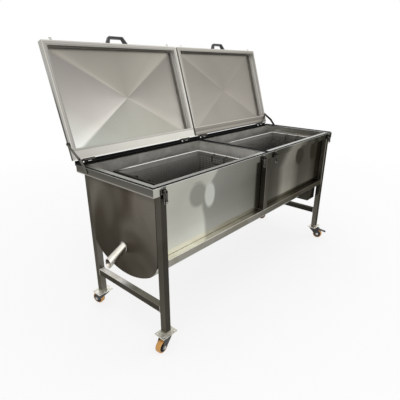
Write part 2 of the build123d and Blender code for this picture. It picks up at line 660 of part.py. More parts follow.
# Toggle latches on the front band, then each lid's hinge halves and keepers
LATCHES_X = {
    "left_outer": -LID_X - LID_LENGTH / 2 + LATCH_END_INSET,
    "left_inner": -LID_X + LID_LENGTH / 2 - LATCH_END_INSET,
    "right_inner": LID_X - LID_LENGTH / 2 + LATCH_END_INSET,
    "right_outer": LID_X + LID_LENGTH / 2 - LATCH_END_INSET,
}
LATCH_FACE = -RIM_DEPTH / 2
LATCH_Y = LATCH_FACE - LATCH_PIVOT_OUT
LATCH_Z = RIM_HEIGHT - LATCH_PIVOT_DROP
BAIL_Y = LATCH_FACE - BAIL_OUT
BAIL_Z = RIM_HEIGHT - BAIL_DROP
LEVER_INSIDE = LUG_INSIDE + LUG_PLATE + 1
LEVER_HALF = LEVER_INSIDE + LEVER_PLATE
LEVER_BACK = LATCH_Y + LUG_RADIUS / 2
LEVER_HEAD = LUG_RADIUS + LEVER_PLATE / 3
BAIL_HALF = LEVER_HALF + BAIL_WIRE / 2 + 2 * FIT
with BuildPart() as bases:
    for latch_x in LATCHES_X.values():
        with BuildSketch(face_on(LATCH_FACE, latch_x, LATCH_Z)):
            Rectangle(LATCH_PLATE_WIDTH, LATCH_PLATE_HEIGHT)
        extrude(amount=SHEET)
        for lug_x in (latch_x - LUG_INSIDE - LUG_PLATE, latch_x + LUG_INSIDE):
            with BuildSketch(end_on(lug_x, LATCH_Y, LATCH_Z)):
                Circle(LUG_RADIUS)
                Rectangle(LATCH_PIVOT_OUT - SHEET, 2 * LUG_RADIUS, align=(Align.MIN, Align.CENTER))
            extrude(amount=LUG_PLATE)
        with BuildSketch(end_on(latch_x - LEVER_HALF, LATCH_Y, LATCH_Z)):
            Circle(LATCH_PIN_RADIUS)
        extrude(amount=2 * LEVER_HALF)
write(bases.part, "latch_bases")

for place, latch_x in LATCHES_X.items():
    with BuildPart() as lever:
        with BuildSketch(end_on(latch_x - LEVER_HALF, LATCH_Y, LATCH_Z)):
            Circle(LEVER_HEAD)
            with Locations((LEVER_BACK - LATCH_Y, 0)):
                Rectangle(LEVER_DEPTH, LEVER_LENGTH, align=Align.MAX)
            with Locations((LEVER_BACK - LATCH_Y - LEVER_DEPTH, -LEVER_LENGTH)):
                Rectangle(LEVER_TAB, LEVER_PLATE, align=(Align.MAX, Align.MIN))
        extrude(amount=2 * LEVER_HALF)
        with BuildSketch(end_on(latch_x - LEVER_INSIDE, LEVER_BACK - LEVER_DEPTH + LEVER_PLATE, LATCH_Z)):
            Rectangle(2 * LEVER_DEPTH, 3 * LEVER_LENGTH, align=(Align.MIN, Align.CENTER))
        extrude(amount=2 * LEVER_INSIDE, mode=Mode.SUBTRACT)
        web_start = LATCH_Z - LEVER_WEB_START
        with BuildSketch(end_on(latch_x - LEVER_INSIDE, LEVER_BACK - LEVER_DEPTH, web_start)):
            Rectangle(2 * LEVER_PLATE, LEVER_LENGTH, align=(Align.CENTER, Align.MIN))
        extrude(amount=2 * LEVER_INSIDE, mode=Mode.SUBTRACT)
        with BuildSketch(end_on(latch_x - LEVER_HALF)):
            with Locations((LATCH_Y, LATCH_Z)):
                Circle(LATCH_PIN_RADIUS + RUNNING)
            with Locations((BAIL_Y, BAIL_Z)):
                Circle(BAIL_WIRE / 2 + RUNNING)
        extrude(amount=2 * LEVER_HALF, mode=Mode.SUBTRACT)
    write(lever.part, f"latch_{place}_lever")

    with BuildPart() as bail:
        with BuildLine(face_on(BAIL_Y, latch_x, BAIL_Z)) as loop:
            FilletPolyline(
                (LEVER_INSIDE, 0),
                (BAIL_HALF, 0),
                (BAIL_HALF, -BAIL_LENGTH),
                (-BAIL_HALF, -BAIL_LENGTH),
                (-BAIL_HALF, 0),
                (-LEVER_INSIDE, 0),
                radius=BAIL_BEND,
            )
        with BuildSketch(end_on(latch_x + LEVER_INSIDE, BAIL_Y, BAIL_Z)):
            RegularPolygon(BAIL_WIRE / 2, ROD_SIDES)
        sweep(path=loop.wires()[0])
    write(bail.part, f"latch_{place}_bail")

KEEPER_FLOOR = BAIL_Z + BAIL_LENGTH - BAIL_WIRE / 2 - KEEPER_CLEARANCE - HINGE_Z
KEEPER_OUT = BAIL_OUT + BAIL_WIRE
for side in SIDES:
    with BuildPart() as fittings:
        for hinge_x in HINGES_X[side]:
            start = hinge_x - HINGE_WIDTH / 2
            with BuildSketch(lid_end_on(start)):
                with Locations((LID_BACK, HINGE_RADIUS + HINGE_GAP)):
                    Rectangle(HINGE_LEAF, HINGE_LEAF_HEIGHT, align=Align.MIN)
            extrude(amount=HINGE_WIDTH)
            with BuildSketch(lid_end_on(start + KNUCKLE + FIT)):
                with Locations((LID_BACK + FIT, 0)):
                    Rectangle(HINGE_LEAF - FIT, HINGE_RADIUS + HINGE_GAP, align=Align.MIN)
                Circle(HINGE_RADIUS)
                Circle(HINGE_PIN_RADIUS + RUNNING, mode=Mode.SUBTRACT)
            extrude(amount=KNUCKLE)
        for place, latch_x in LATCHES_X.items():
            if place.startswith(side):
                with BuildSketch(lid_end_on(latch_x - KEEPER_WIDTH / 2)):
                    with Locations((LID_FRONT, KEEPER_FLOOR - SHEET)):
                        Rectangle(KEEPER_OUT + SHEET, SHEET, align=(Align.MAX, Align.MIN))
                        Rectangle(SHEET, 2 * KEEPER_LIP, align=(Align.MAX, Align.MIN))
                    with Locations((LID_FRONT - KEEPER_OUT, KEEPER_FLOOR - SHEET)):
                        Rectangle(SHEET, KEEPER_LIP + SHEET, align=(Align.MAX, Align.MIN))
                extrude(amount=KEEPER_WIDTH)
    write(fittings.part, f"lid_{side}_fittings")

# Baskets of perforated sheet with a rim and two lifting stirrups
BASKET_BODY_LENGTH = BASKET_LENGTH - 2 * BASKET_RIM
BASKET_BODY_WIDTH = BASKET_WIDTH - 2 * BASKET_RIM


def rows(span):
    """How many perforations fit along a span."""
    return int((span - PERFORATION) // PERFORATION_PITCH)


for side, basket_x in (("left", BASKET_LEFT_X), ("right", BASKET_RIGHT_X)):
    with BuildPart() as basket:
        with BuildSketch(level(BASKET_FLOOR, basket_x)):
            Rectangle(BASKET_BODY_LENGTH, BASKET_BODY_WIDTH)
        extrude(amount=BASKET_DEPTH)
        with BuildSketch(level(BASKET_RIM_TOP, basket_x)):
            Rectangle(BASKET_LENGTH, BASKET_WIDTH)
        extrude(amount=-BASKET_RIM_DEPTH)
        with BuildSketch(level(BASKET_FLOOR + BASKET_SHEET, basket_x)):
            Rectangle(BASKET_BODY_LENGTH - 2 * BASKET_SHEET, BASKET_BODY_WIDTH - 2 * BASKET_SHEET)
        extrude(amount=BASKET_DEPTH, mode=Mode.SUBTRACT)
        count_x = rows(BASKET_BODY_LENGTH)
        count_y = rows(BASKET_BODY_WIDTH)
        count_z = rows(BASKET_DEPTH)
        with BuildSketch(level(BASKET_FLOOR, basket_x)):
            with GridLocations(PERFORATION_PITCH, PERFORATION_PITCH, count_x, count_y):
                Rectangle(PERFORATION, PERFORATION)
        extrude(amount=BASKET_SHEET, mode=Mode.SUBTRACT)
        with BuildSketch(face_on(-BASKET_BODY_WIDTH / 2, basket_x, BASKET_FLOOR + BASKET_DEPTH / 2)):
            with GridLocations(PERFORATION_PITCH, PERFORATION_PITCH, count_x, count_z):
                Rectangle(PERFORATION, PERFORATION)
        extrude(amount=-BASKET_BODY_WIDTH, mode=Mode.SUBTRACT)
        with BuildSketch(end_on(basket_x - BASKET_BODY_LENGTH / 2, 0, BASKET_FLOOR + BASKET_DEPTH / 2)):
            with GridLocations(PERFORATION_PITCH, PERFORATION_PITCH, count_y, count_z):
                Rectangle(PERFORATION, PERFORATION)
        extrude(amount=BASKET_BODY_LENGTH, mode=Mode.SUBTRACT)
        for sign in SIDES.values():
            wall_x = basket_x + sign * (BASKET_BODY_LENGTH / 2 - BASKET_SHEET / 2)
            grip_x = wall_x - sign * STIRRUP_REACH
            high = BASKET_RIM_TOP - STIRRUP_ROD / 2
            low = BASKET_RIM_TOP - STIRRUP_DROP
            with BuildLine() as stirrup:
                FilletPolyline(
                    (wall_x, MID_Y - STIRRUP_WIDTH / 2, high),
                    (grip_x, MID_Y - STIRRUP_WIDTH / 2, high),
                    (grip_x, MID_Y - STIRRUP_WIDTH / 2, low),
                    (grip_x, MID_Y + STIRRUP_WIDTH / 2, low),
                    (grip_x, MID_Y + STIRRUP_WIDTH / 2, high),
                    (wall_x, MID_Y + STIRRUP_WIDTH / 2, high),
                    radius=STIRRUP_BEND,
                )
            with BuildSketch(end_on(wall_x, -STIRRUP_WIDTH / 2, high)):
                RegularPolygon(STIRRUP_ROD / 2, ROD_SIDES)
            sweep(path=stirrup.wires()[0])
    write(basket.part, f"basket_{side}")

# Castors: fixed plates, and for each corner a fork with its axle, a wheel core, a tyre and any brake
CORNERS = {
    f"{end}_{side}": (sign * LEG_X, way * RAIL_Y)
    for end, way in ENDS.items()
    for side, sign in SIDES.items()
}
RACE_BOTTOM = FOOT_HEIGHT - PLATE_THICKNESS - RACE_DEPTH
CROWN_TOP = RACE_BOTTOM - FIT - CROWN_CUP
CROWN_BOTTOM = CROWN_TOP - CROWN_PLATE
PEDAL_PIVOT_HEIGHT = CROWN_TOP - PEDAL_PIVOT_DROP
with BuildPart() as plates:
    for corner_x, corner_y in CORNERS.values():
        with BuildSketch(level(FOOT_HEIGHT, corner_x, corner_y)):
            Rectangle(PLATE_LENGTH, PLATE_WIDTH)
            with GridLocations(PLATE_SLOT_LENGTH, PLATE_SLOT_WIDTH, 2, 2):
                SlotOverall(SLOT_OVERALL, SLOT_WIDE, mode=Mode.SUBTRACT)
        extrude(amount=-PLATE_THICKNESS)
        with BuildSketch(level(FOOT_HEIGHT - PLATE_THICKNESS, corner_x, corner_y)):
            Circle(RACE_RADIUS)
        extrude(amount=-RACE_DEPTH)
        with BuildSketch(level(RACE_BOTTOM, corner_x, corner_y)):
            Circle(KINGPIN_RADIUS)
        extrude(amount=CROWN_BOTTOM - FIT - RACE_BOTTOM)
        with BuildSketch(level(CROWN_BOTTOM - FIT, corner_x, corner_y)):
            RegularPolygon(KINGPIN_NUT_RADIUS, 6)
        extrude(amount=-KINGPIN_NUT)
write(plates.part, "castor_plates")

FORK_INSIDE = HUB_WIDTH / 2 + FORK_GAP
FORK_OUTSIDE = FORK_INSIDE + FORK_PLATE
for corner, heading in CASTOR_HEADINGS.items():
    corner_x, corner_y = CORNERS[corner]
    turn = radians(heading)
    trail_way = Vector(cos(turn), sin(turn), 0)
    axle_way = Vector(sin(turn), -cos(turn), 0)
    swivel = Vector(corner_x, corner_y + MID_Y, 0)
    flat = Plane(origin=swivel, x_dir=trail_way, z_dir=(0, 0, 1))
    upright = Plane(origin=swivel, x_dir=trail_way, z_dir=axle_way)
    across = Plane(
        origin=swivel + trail_way * TRAIL + Vector(0, 0, WHEEL_RADIUS),
        x_dir=axle_way,
        z_dir=trail_way * -1,
    )
    axle_line = Axis(across.origin, axle_way)

    with BuildPart() as fork:
        with BuildSketch(flat.offset(CROWN_BOTTOM)):
            Circle(RACE_RADIUS)
            Rectangle(FORK_SHOULDER, 2 * FORK_OUTSIDE)
        extrude(amount=CROWN_PLATE)
        with BuildSketch(flat.offset(CROWN_TOP)):
            Circle(RACE_RADIUS - FORK_PLATE)
        extrude(amount=CROWN_CUP)
        for cheek_start in (FORK_INSIDE, -FORK_OUTSIDE):
            with BuildSketch(upright.offset(cheek_start)):
                with Locations((0, CROWN_BOTTOM)):
                    Rectangle(FORK_SHOULDER, CROWN_PLATE, align=(Align.CENTER, Align.MIN))
                with Locations((TRAIL, WHEEL_RADIUS)):
                    Circle(FORK_END_RADIUS)
                if corner in BRAKED:
                    with Locations((PEDAL_PIVOT_OUT, PEDAL_PIVOT_HEIGHT)):
                        Circle(2 * PEDAL_PIVOT_RADIUS)
                make_hull()
            extrude(amount=FORK_PLATE)
        with BuildSketch(flat.offset(CROWN_BOTTOM)):
            Circle(KINGPIN_RADIUS + RUNNING)
        extrude(amount=RACE_DEPTH, mode=Mode.SUBTRACT)
        with BuildSketch(Plane(across.origin, x_dir=trail_way, z_dir=axle_way).offset(-FORK_OUTSIDE)):
            Circle(AXLE_RADIUS)
        extrude(amount=2 * FORK_OUTSIDE)
        for head_start, way in ((FORK_OUTSIDE, 1), (-FORK_OUTSIDE, -1)):
            with BuildSketch(Plane(across.origin, x_dir=trail_way, z_dir=axle_way).offset(head_start)):
                RegularPolygon(AXLE_HEAD_RADIUS, 6)
            extrude(amount=way * AXLE_HEAD)
        if corner in BRAKED:
            with BuildSketch(upright.offset(-FORK_OUTSIDE)):
                with Locations((PEDAL_PIVOT_OUT, PEDAL_PIVOT_HEIGHT)):
                    Circle(PEDAL_PIVOT_RADIUS)
            extrude(amount=2 * FORK_OUTSIDE)
    write(fork.part, f"castor_{corner}_fork")

    with BuildPart() as core:
        with BuildSketch(across):
            for width, inside, outside in (
                (HUB_WIDTH, AXLE_RADIUS + RUNNING, HUB_RADIUS),
                (WEB_WIDTH, HUB_RADIUS, RIM_INSIDE_RADIUS),
                (WHEEL_WIDTH, RIM_INSIDE_RADIUS, CORE_RADIUS),
            ):
                with Locations((0, inside)):
                    Rectangle(width, outside - inside, align=(Align.CENTER, Align.MIN))
        revolve(axis=axle_line)
    write(core.part, f"castor_{corner}_wheel")

    with BuildPart() as tyre:
        with BuildSketch(across) as tread:
            with Locations((0, CORE_RADIUS)):
                Rectangle(WHEEL_WIDTH, WHEEL_RADIUS - CORE_RADIUS, align=(Align.CENTER, Align.MIN))
            chamfer(tread.vertices().sort_by(Axis.Y)[-2:], TYRE_EDGE)
        revolve(axis=axle_line)
    write(tyre.part, f"castor_{corner}_tyre")

    if corner in BRAKED:
        with BuildPart() as pedal:
            with BuildSketch(upright.offset(-PEDAL_WIDTH / 2)):
                with Locations((PEDAL_PIVOT_OUT, PEDAL_PIVOT_HEIGHT)):
                    Circle(PEDAL_BARREL)
                    Rectangle(
                        PEDAL_REACH - PEDAL_PIVOT_OUT,
                        PEDAL_PLATE,
                        rotation=-PEDAL_TILT,
                        align=(Align.MIN, Align.CENTER),
                    )
                    Circle(PEDAL_PIVOT_RADIUS + RUNNING, mode=Mode.SUBTRACT)
            extrude(amount=PEDAL_WIDTH)
        write(pedal.part, f"castor_{corner}_brake_pedal")
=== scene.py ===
import json
from math import cos, pi, radians, sin

import bmesh
import bpy
from mathutils import Matrix, Vector


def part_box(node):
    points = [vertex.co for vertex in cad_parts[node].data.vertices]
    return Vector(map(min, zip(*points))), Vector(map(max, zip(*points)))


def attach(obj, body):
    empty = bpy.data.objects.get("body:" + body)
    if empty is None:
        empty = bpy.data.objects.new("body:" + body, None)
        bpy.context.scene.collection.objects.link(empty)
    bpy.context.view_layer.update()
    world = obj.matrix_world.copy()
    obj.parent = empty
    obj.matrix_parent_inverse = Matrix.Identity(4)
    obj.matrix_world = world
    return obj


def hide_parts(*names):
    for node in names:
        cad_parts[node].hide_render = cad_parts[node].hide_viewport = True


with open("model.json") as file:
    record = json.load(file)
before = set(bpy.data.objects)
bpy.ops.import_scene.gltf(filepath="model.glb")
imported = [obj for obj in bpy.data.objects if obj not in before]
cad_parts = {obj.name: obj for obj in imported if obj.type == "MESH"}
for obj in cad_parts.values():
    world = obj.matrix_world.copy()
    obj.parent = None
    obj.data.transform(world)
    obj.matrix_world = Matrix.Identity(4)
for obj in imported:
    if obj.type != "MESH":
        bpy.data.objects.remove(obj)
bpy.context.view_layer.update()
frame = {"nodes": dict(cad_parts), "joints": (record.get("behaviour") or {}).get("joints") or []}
nodes = frame["nodes"]
joints = {joint["name"]: joint for joint in frame["joints"]}
scene = bpy.context.scene

# Sizes and places that the pieces share, in metres
rim_low, rim_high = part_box("rim_cap")
MID = (rim_low + rim_high) / 2
RIM_Z = rim_high.z
RIM_BAND = 0.042
SHEET = 0.002
TUBE = 0.040
HALF = TUBE / 2
LEG_X = 0.938
RAIL_Y = 0.3005
TROUGH_END = 0.958
TROUGH_DEPTH = 0.59
LONG_RAIL_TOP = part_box("long_rails")[1].z
CROSS_RAIL_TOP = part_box("cross_rails")[1].z
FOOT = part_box("castor_plates")[1].z
LID_OPEN = radians(107)
LID_X = 0.50425
LID_MIDDLE = 0.331
LID_HALF = Vector((0.49575, 0.3225))
LID_LIP = 0.026
LID_HINGE_LIP = 0.062
LID_UP = Vector((0, -cos(LID_OPEN), sin(LID_OPEN)))
HINGE = Vector(joints["lid_left_hinge"]["pos_m"])
HINGES_X = {"left": (-0.908, -0.1005), "right": (0.1005, 0.908)}
LATCHES_X = (-0.936, -0.0725, 0.0725, 0.936)
SIDES = {"left": -1, "right": 1}
SIGNS = (-1, 1)
CORNERS = [(x, y) for x in SIGNS for y in SIGNS]


# Finishes


def new_finish(name):
    finish = bpy.data.materials.new(name)
    finish.use_nodes = True
    return finish, finish.node_tree, finish.node_tree.nodes["Principled BSDF"]


def wire(tree, node, inputs):
    """Sets or links a node's inputs: each is a number, a vector, a colour or another node's output."""
    for key, value in inputs.items():
        socket = node.inputs[key]
        if isinstance(value, bpy.types.NodeSocket):
            tree.links.new(value, socket)
        elif value is not None:
            socket.default_value = (*value, 1) if socket.type == "RGBA" else value


def add(tree, kind, inputs, **settings):
    """A new node with its settings and inputs."""
    made = tree.nodes.new(kind)
    for key, value in settings.items():
        setattr(made, key, value)
    wire(tree, made, inputs)
    return made


def place_pattern(tree, scale=(1, 1, 1), turn=(0, 0, 0), shift=(0, 0, 0)):
    """Object coordinates, scaled, turned and shifted."""
    coords = add(tree, "ShaderNodeTexCoord", {}).outputs["Object"]
    inputs = {"Vector": coords, "Scale": scale, "Rotation": turn, "Location": shift}
    return add(tree, "ShaderNodeMapping", inputs).outputs["Vector"]


def apart(tree, vector):
    """The three numbers of a vector."""
    return add(tree, "ShaderNodeSeparateXYZ", {"Vector": vector}).outputs


def where(tree):
    """The place on the object."""
    return apart(tree, place_pattern(tree))


def normal(tree):
    return add(tree, "ShaderNodeNewGeometry", {}).outputs["Normal"]


def facing(tree):
    """Which way the surface looks."""
    return apart(tree, normal(tree))


def noise(tree, vector, scale, detail, roughness, distortion=0.0):
    inputs = {"Vector": vector, "Scale": scale, "Detail": detail, "Roughness": roughness,
              "Distortion": distortion}
    return add(tree, "ShaderNodeTexNoise", inputs).outputs["Fac"]


def ramp(tree, source, *stops):
    """Grey or coloured steps over a value: each stop is a position and a tone."""
    made = add(tree, "ShaderNodeValToRGB", {"Fac": source})
    elements = made.color_ramp.elements
    while len(elements) < len(stops):
        elements.new(0.5)
    for element, (position, tone) in zip(elements, stops):
        element.position = position
        element.color = (*tone, 1) if isinstance(tone, tuple) else (tone, tone, tone, 1)
    return made.outputs["Color"]


def mixed(tree, factor, first, second, blend="MIX"):
    """Two colours mixed; each may be a colour or a socket."""
    inputs = {0: factor, 6: first, 7: second}
    return add(tree, "ShaderNodeMix", inputs, data_type="RGBA", blend_type=blend).outputs[2]


def tinted(tree, colour, tint):
    return mixed(tree, 1.0, colour, tint, "MULTIPLY")


def spread(tree, source, low, high, start=0.0, end=1.0):
    """A value between start and end set over another range."""
    inputs = {"Value": source, "From Min": start, "From Max": end, "To Min": low, "To Max": high}
    return add(tree, "ShaderNodeMapRange", inputs).outputs["Result"]


def sums(tree, operation, first, second=None):
    return add(tree, "ShaderNodeMath", {0: first, 1: second}, operation=operation).outputs[0]


def times(tree, first, second):
    return sums(tree, "MULTIPLY", first, second)


def vectors(tree, operation, first, second=None):
    return add(tree, "ShaderNodeVectorMath", {0: first, 1: second}, operation=operation).outputs


def along(tree, axis, start, end):
    """0 at the start of a stretch of the object and 1 at its end."""
    return spread(tree, where(tree)[axis], 0, 1, start, end)


def looks_up(tree, most=1.0):
    """The most on faces that look up and 0 on upright ones."""
    return ramp(tree, facing(tree)["Z"], (0.4, 0.0), (0.8, most))


def looks_endwise(tree):
    """1 on faces that look left or right and 0 on the others."""
    return ramp(tree, sums(tree, "ABSOLUTE", facing(tree)["X"]), (0.4, 0.0), (0.8, 1.0))


def dents(tree, height, strength, distance):
    inputs = {"Height": height, "Strength": strength, "Distance": distance}
    return add(tree, "ShaderNodeBump", inputs).outputs["Normal"]


# Grain: how often it repeats in a metre, along each axis
ALONG_X = (5, 260, 260)
ALONG_Y = (260, 5, 260)
ALONG_Z = (260, 260, 5)
EVEN = (60, 60, 60)
FINE = (300, 300, 300)
GRAIN_DEPTH = 0.0003
STEEL_GLINT = (0.45, 0.45, 0.43)


def steel(name, tone, stain, grain, rough, streak=0.05, blotch=4.0, dent=0.08, frost=None):
    """Rolled or brushed steel: fine streaks along the grain, soft stains and uneven gloss.
    The tone and the roughness may be functions that lay them out over the piece.
    Frost is a function that tells where the sheet is dull."""
    finish, tree, shader = new_finish(name)
    streaks = noise(tree, place_pattern(tree, scale=grain), 1.0, detail=4.0, roughness=0.6)
    stains = noise(tree, place_pattern(tree), blotch, detail=3.0, roughness=0.55, distortion=0.4)
    base = tone(tree) if callable(tone) else tone
    stained = tinted(tree, base, ramp(tree, stains, (0.42, (1.0, 1.0, 1.0)), (0.72, stain)))
    colour = tinted(tree, stained, ramp(tree, streaks, (0.3, 1 - streak), (0.7, 1 + streak)))
    uneven = sums(tree, "ADD", spread(tree, streaks, -0.06, 0.04), spread(tree, stains, -0.04, 0.07))
    wire(tree, shader, {
        "Base Color": colour, "Specular Tint": STEEL_GLINT,
        "Roughness": sums(tree, "ADD", uneven, rough(tree) if callable(rough) else rough),
        "Metallic": sums(tree, "SUBTRACT", 1.0, frost(tree)) if frost else 1.0,
        "Normal": dents(tree, streaks, dent, GRAIN_DEPTH)})
    return finish


def stronger(tone, factor):
    return tuple(factor * part for part in tone)


def throughout(tone):
    """The same tone from end to end."""
    return (0.0, tone), (1.0, tone)


def painted_tube_light(axis, start, end, top, front, side):
    """Square tube with painted light: faces that look up are painted lit and the upright ones
    painted in shade, each in steps of painted light and shade along it."""

    def tone(tree):
        run = along(tree, axis, start, end)
        upright = mixed(tree, looks_endwise(tree), ramp(tree, run, *front), ramp(tree, run, *side))
        return mixed(tree, looks_up(tree), upright, ramp(tree, run, *top))

    return tone


TUBE_STAIN = (0.72, 0.69, 0.63)
# Painted shade on the tubes' upright faces
SHADED_TUBE = (0.062, 0.057, 0.048)
LONG_RAIL_HALF = 0.92
CROSS_RAIL_HALF = 0.28
CROSS_RAIL_ENDS = (MID.y - CROSS_RAIL_HALF, MID.y + CROSS_RAIL_HALF)
# Painted shade on the cross rail at the right end
RIGHT_RAIL_SHADE = (0.40, 0.40, 0.40)

# Painted light on the long rails: a painted highlight along the top at the left end, fading to painted shade
# at the right
long_tube = steel("satin_long_rail", painted_tube_light(
    "X", -LONG_RAIL_HALF, LONG_RAIL_HALF,
    top=((0.0, (0.90, 0.87, 0.77)), (0.3, (0.70, 0.67, 0.59)), (0.55, (0.34, 0.325, 0.285)),
         (0.75, (0.17, 0.162, 0.14)), (1.0, (0.12, 0.112, 0.096))),
    front=((0.0, (0.31, 0.30, 0.26)), (0.4, (0.24, 0.23, 0.20)), (0.6, (0.12, 0.112, 0.096)),
           (1.0, SHADED_TUBE)),
    side=throughout(SHADED_TUBE)), TUBE_STAIN, ALONG_X, rough=0.30)
# Painted light on the cross rails: a painted highlight along the back of the top, and the upright faces in
# painted shade
cross_tone = painted_tube_light(
    "Y", *CROSS_RAIL_ENDS,
    top=((0.0, (0.20, 0.19, 0.165)), (0.3, (0.27, 0.26, 0.235)), (0.42, (0.24, 0.232, 0.212)),
         (0.54, (0.40, 0.395, 0.375)), (0.66, (0.96, 0.94, 0.90)), (1.0, (0.94, 0.92, 0.88))),
    front=throughout(SHADED_TUBE),
    side=((0.0, (0.060, 0.055, 0.046)), (1.0, (0.085, 0.079, 0.067))))


def shaded_right(tree):
    """The cross rails' painted light, in painted shade on the one at the right end."""
    right_end = sums(tree, "GREATER_THAN", where(tree)["X"], 0.0)
    rail = cross_tone(tree)
    return mixed(tree, right_end, rail, tinted(tree, rail, RIGHT_RAIL_SHADE))


def matte_highlight_back(tree):
    """The back half of the left cross rail's top, made part matte so that its painted highlight shows in
    diffuse light.
    """
    behind = ramp(tree, along(tree, "Y", *CROSS_RAIL_ENDS), (0.46, 0.0), (0.62, 0.85))
    left_end = sums(tree, "LESS_THAN", where(tree)["X"], 0.0)
    return times(tree, times(tree, looks_up(tree), behind), left_end)


cross_tube = steel("satin_cross_rail", shaded_right, TUBE_STAIN, ALONG_Y, rough=0.26, frost=matte_highlight_back)
top_tube = steel("satin_top_rail", (0.14, 0.134, 0.12), TUBE_STAIN, ALONG_X, rough=0.32)
# Painted light on the mid posts: each face painted its own tone of light and shade
post_tube = steel("satin_mid_post", painted_tube_light(
    "Z", LONG_RAIL_TOP, RIM_Z,
    top=throughout((0.2, 0.19, 0.17)),
    front=((0.0, (0.105, 0.099, 0.086)), (0.5, (0.075, 0.070, 0.060)), (1.0, (0.060, 0.056, 0.048))),
    side=((0.0, (0.17, 0.16, 0.14)), (1.0, (0.13, 0.123, 0.107)))), TUBE_STAIN, ALONG_Z, rough=0.26)

PALE_FOOT = (0.40, 0.385, 0.345)
LIGHTER_LOW = 1.35


def leg_tube(name, front, side, upper=None):
    """Upright tube with painted light and shade on its faces, pale round its foot and a little lighter low
    down.
    The side may have another tone above the long rails, a painted reflection."""
    low_front, low_side = stronger(front, LIGHTER_LOW), stronger(side, LIGHTER_LOW)
    upper = upper or side
    return steel(name, painted_tube_light(
        "Z", FOOT, RIM_Z,
        top=throughout(front),
        front=((0.012, PALE_FOOT), (0.020, low_front), (0.4, front), (1.0, front)),
        side=((0.012, PALE_FOOT), (0.020, low_side), (0.4, side), (0.52, side),
              (0.54, upper), (1.0, upper))),
        TUBE_STAIN, ALONG_Z, rough=0.28, streak=0.06)


# Each leg carries its own painted light and shade on its faces; the right front leg's side is painted lighter
# above the long rails, a painted reflection
front_left_leg = leg_tube("satin_leg_front_left", (0.050, 0.046, 0.038), (0.082, 0.076, 0.063))
front_right_leg = leg_tube("satin_leg_front_right", (0.038, 0.035, 0.029), (0.095, 0.089, 0.075),
                           (0.36, 0.345, 0.305))
back_legs = leg_tube("satin_leg_back", (0.12, 0.114, 0.098), (0.095, 0.089, 0.076))

# Painted reflections on the front wall, from its left end to its right
WALL_HALF = 0.96
WALL_STEPS = (
    (0.0, (0.43, 0.43, 0.378)), (0.083, (0.40, 0.40, 0.352)), (0.186, (0.44, 0.443, 0.396)),
    (0.199, (0.245, 0.246, 0.22)), (0.28, (0.205, 0.206, 0.182)), (0.36, (0.18, 0.18, 0.158)),
    (0.44, (0.125, 0.124, 0.107)), (0.48, (0.075, 0.073, 0.062)), (0.51, (0.062, 0.060, 0.051)),
    (0.56, (0.060, 0.058, 0.049)), (0.61, (0.085, 0.082, 0.070)), (0.655, (0.235, 0.227, 0.195)),
    (0.71, (0.20, 0.193, 0.165)), (0.775, (0.072, 0.069, 0.059)), (0.86, (0.082, 0.079, 0.067)),
    (0.917, (0.044, 0.042, 0.036)), (1.0, (0.040, 0.038, 0.032)))
# The fields lean to the right between these heights, and the wall is brighter near the long rail, a painted
# reflection of its top
LEAN = 0.11
LEAN_FROM, LEAN_TO = RIM_Z - 0.16, RIM_Z - 0.03
RAIL_REFLECTION_RISE = 0.22
# Painted reflections of ovals on the wall: middle, half width, half height and tone
WALL_OVALS = (
    (-0.648, 0.832, 0.080, 0.078, (0.262, 0.263, 0.234)),
    (-0.55, 0.808, 0.050, 0.082, (0.50, 0.512, 0.470)),
    (0.53, 0.838, 0.075, 0.078, (0.050, 0.048, 0.041)),
    (0.76, 0.85, 0.060, 0.10, (0.040, 0.038, 0.032)))


def oval(tree, x, z, wide, high):
    """1 within a soft-edged oval on the front of the trough and 0 round it."""
    across = place_pattern(tree, scale=(1 / wide, 0, 1 / high), shift=(-x / wide, 0, -z / high))
    out = vectors(tree, "LENGTH", across)["Value"]
    on_front = sums(tree, "LESS_THAN", where(tree)["Y"], MID.y)
    return times(tree, ramp(tree, out, (0.72, 1.0), (1.0, 0.0)), on_front)


def painted_wall_reflection(tree, lead=0.0, drop=0.0):
    """Painted reflections: bright to the left, with soft fields that darken to the right, as a polished sheet
    shows the room.
    Lead and drop carry the fields over to the rim, which stands out from the wall."""
    place = apart(tree, place_pattern(tree, shift=(lead, 0, -drop)))
    soft = noise(tree, place_pattern(tree, scale=(1.6, 1.0, 2.2), shift=(0.35, 0, 0.2)),
                 1.0, detail=1.0, roughness=0.4, distortion=0.5)
    waver = spread(tree, soft, -0.03, 0.03, 0.3, 0.7)
    lean = spread(tree, place["Z"], 0.0, -LEAN, LEAN_FROM, LEAN_TO)
    drawn = sums(tree, "ADD", sums(tree, "ADD", place["X"], lean), waver)
    shaded = ramp(tree, spread(tree, drawn, 0, 1, -WALL_HALF, WALL_HALF), *WALL_STEPS)
    for x, z, wide, high, reflected in WALL_OVALS:
        shaded = mixed(tree, oval(tree, x - lead, z + drop, wide, high), shaded, reflected)
    low = spread(tree, place["Z"], 1, 0, LONG_RAIL_TOP, LONG_RAIL_TOP + RAIL_REFLECTION_RISE)
    return tinted(tree, shaded, ramp(tree, low, (0.0, 1.0), (0.45, 1.15), (1.0, 1.6)))


# A point within the trough, towards which the inside of its sheet looks
TROUGH_CORE = (0, MID.y, RIM_Z - 0.17)


def outside_face(tree):
    """1 on the outside of the trough sheet and 0 on its inside."""
    from_core = vectors(tree, "SUBTRACT", place_pattern(tree, scale=(0, 1, 1)), TROUGH_CORE)[0]
    outward = vectors(tree, "DOT_PRODUCT", from_core, normal(tree))["Value"]
    return sums(tree, "GREATER_THAN", outward, 0.0)


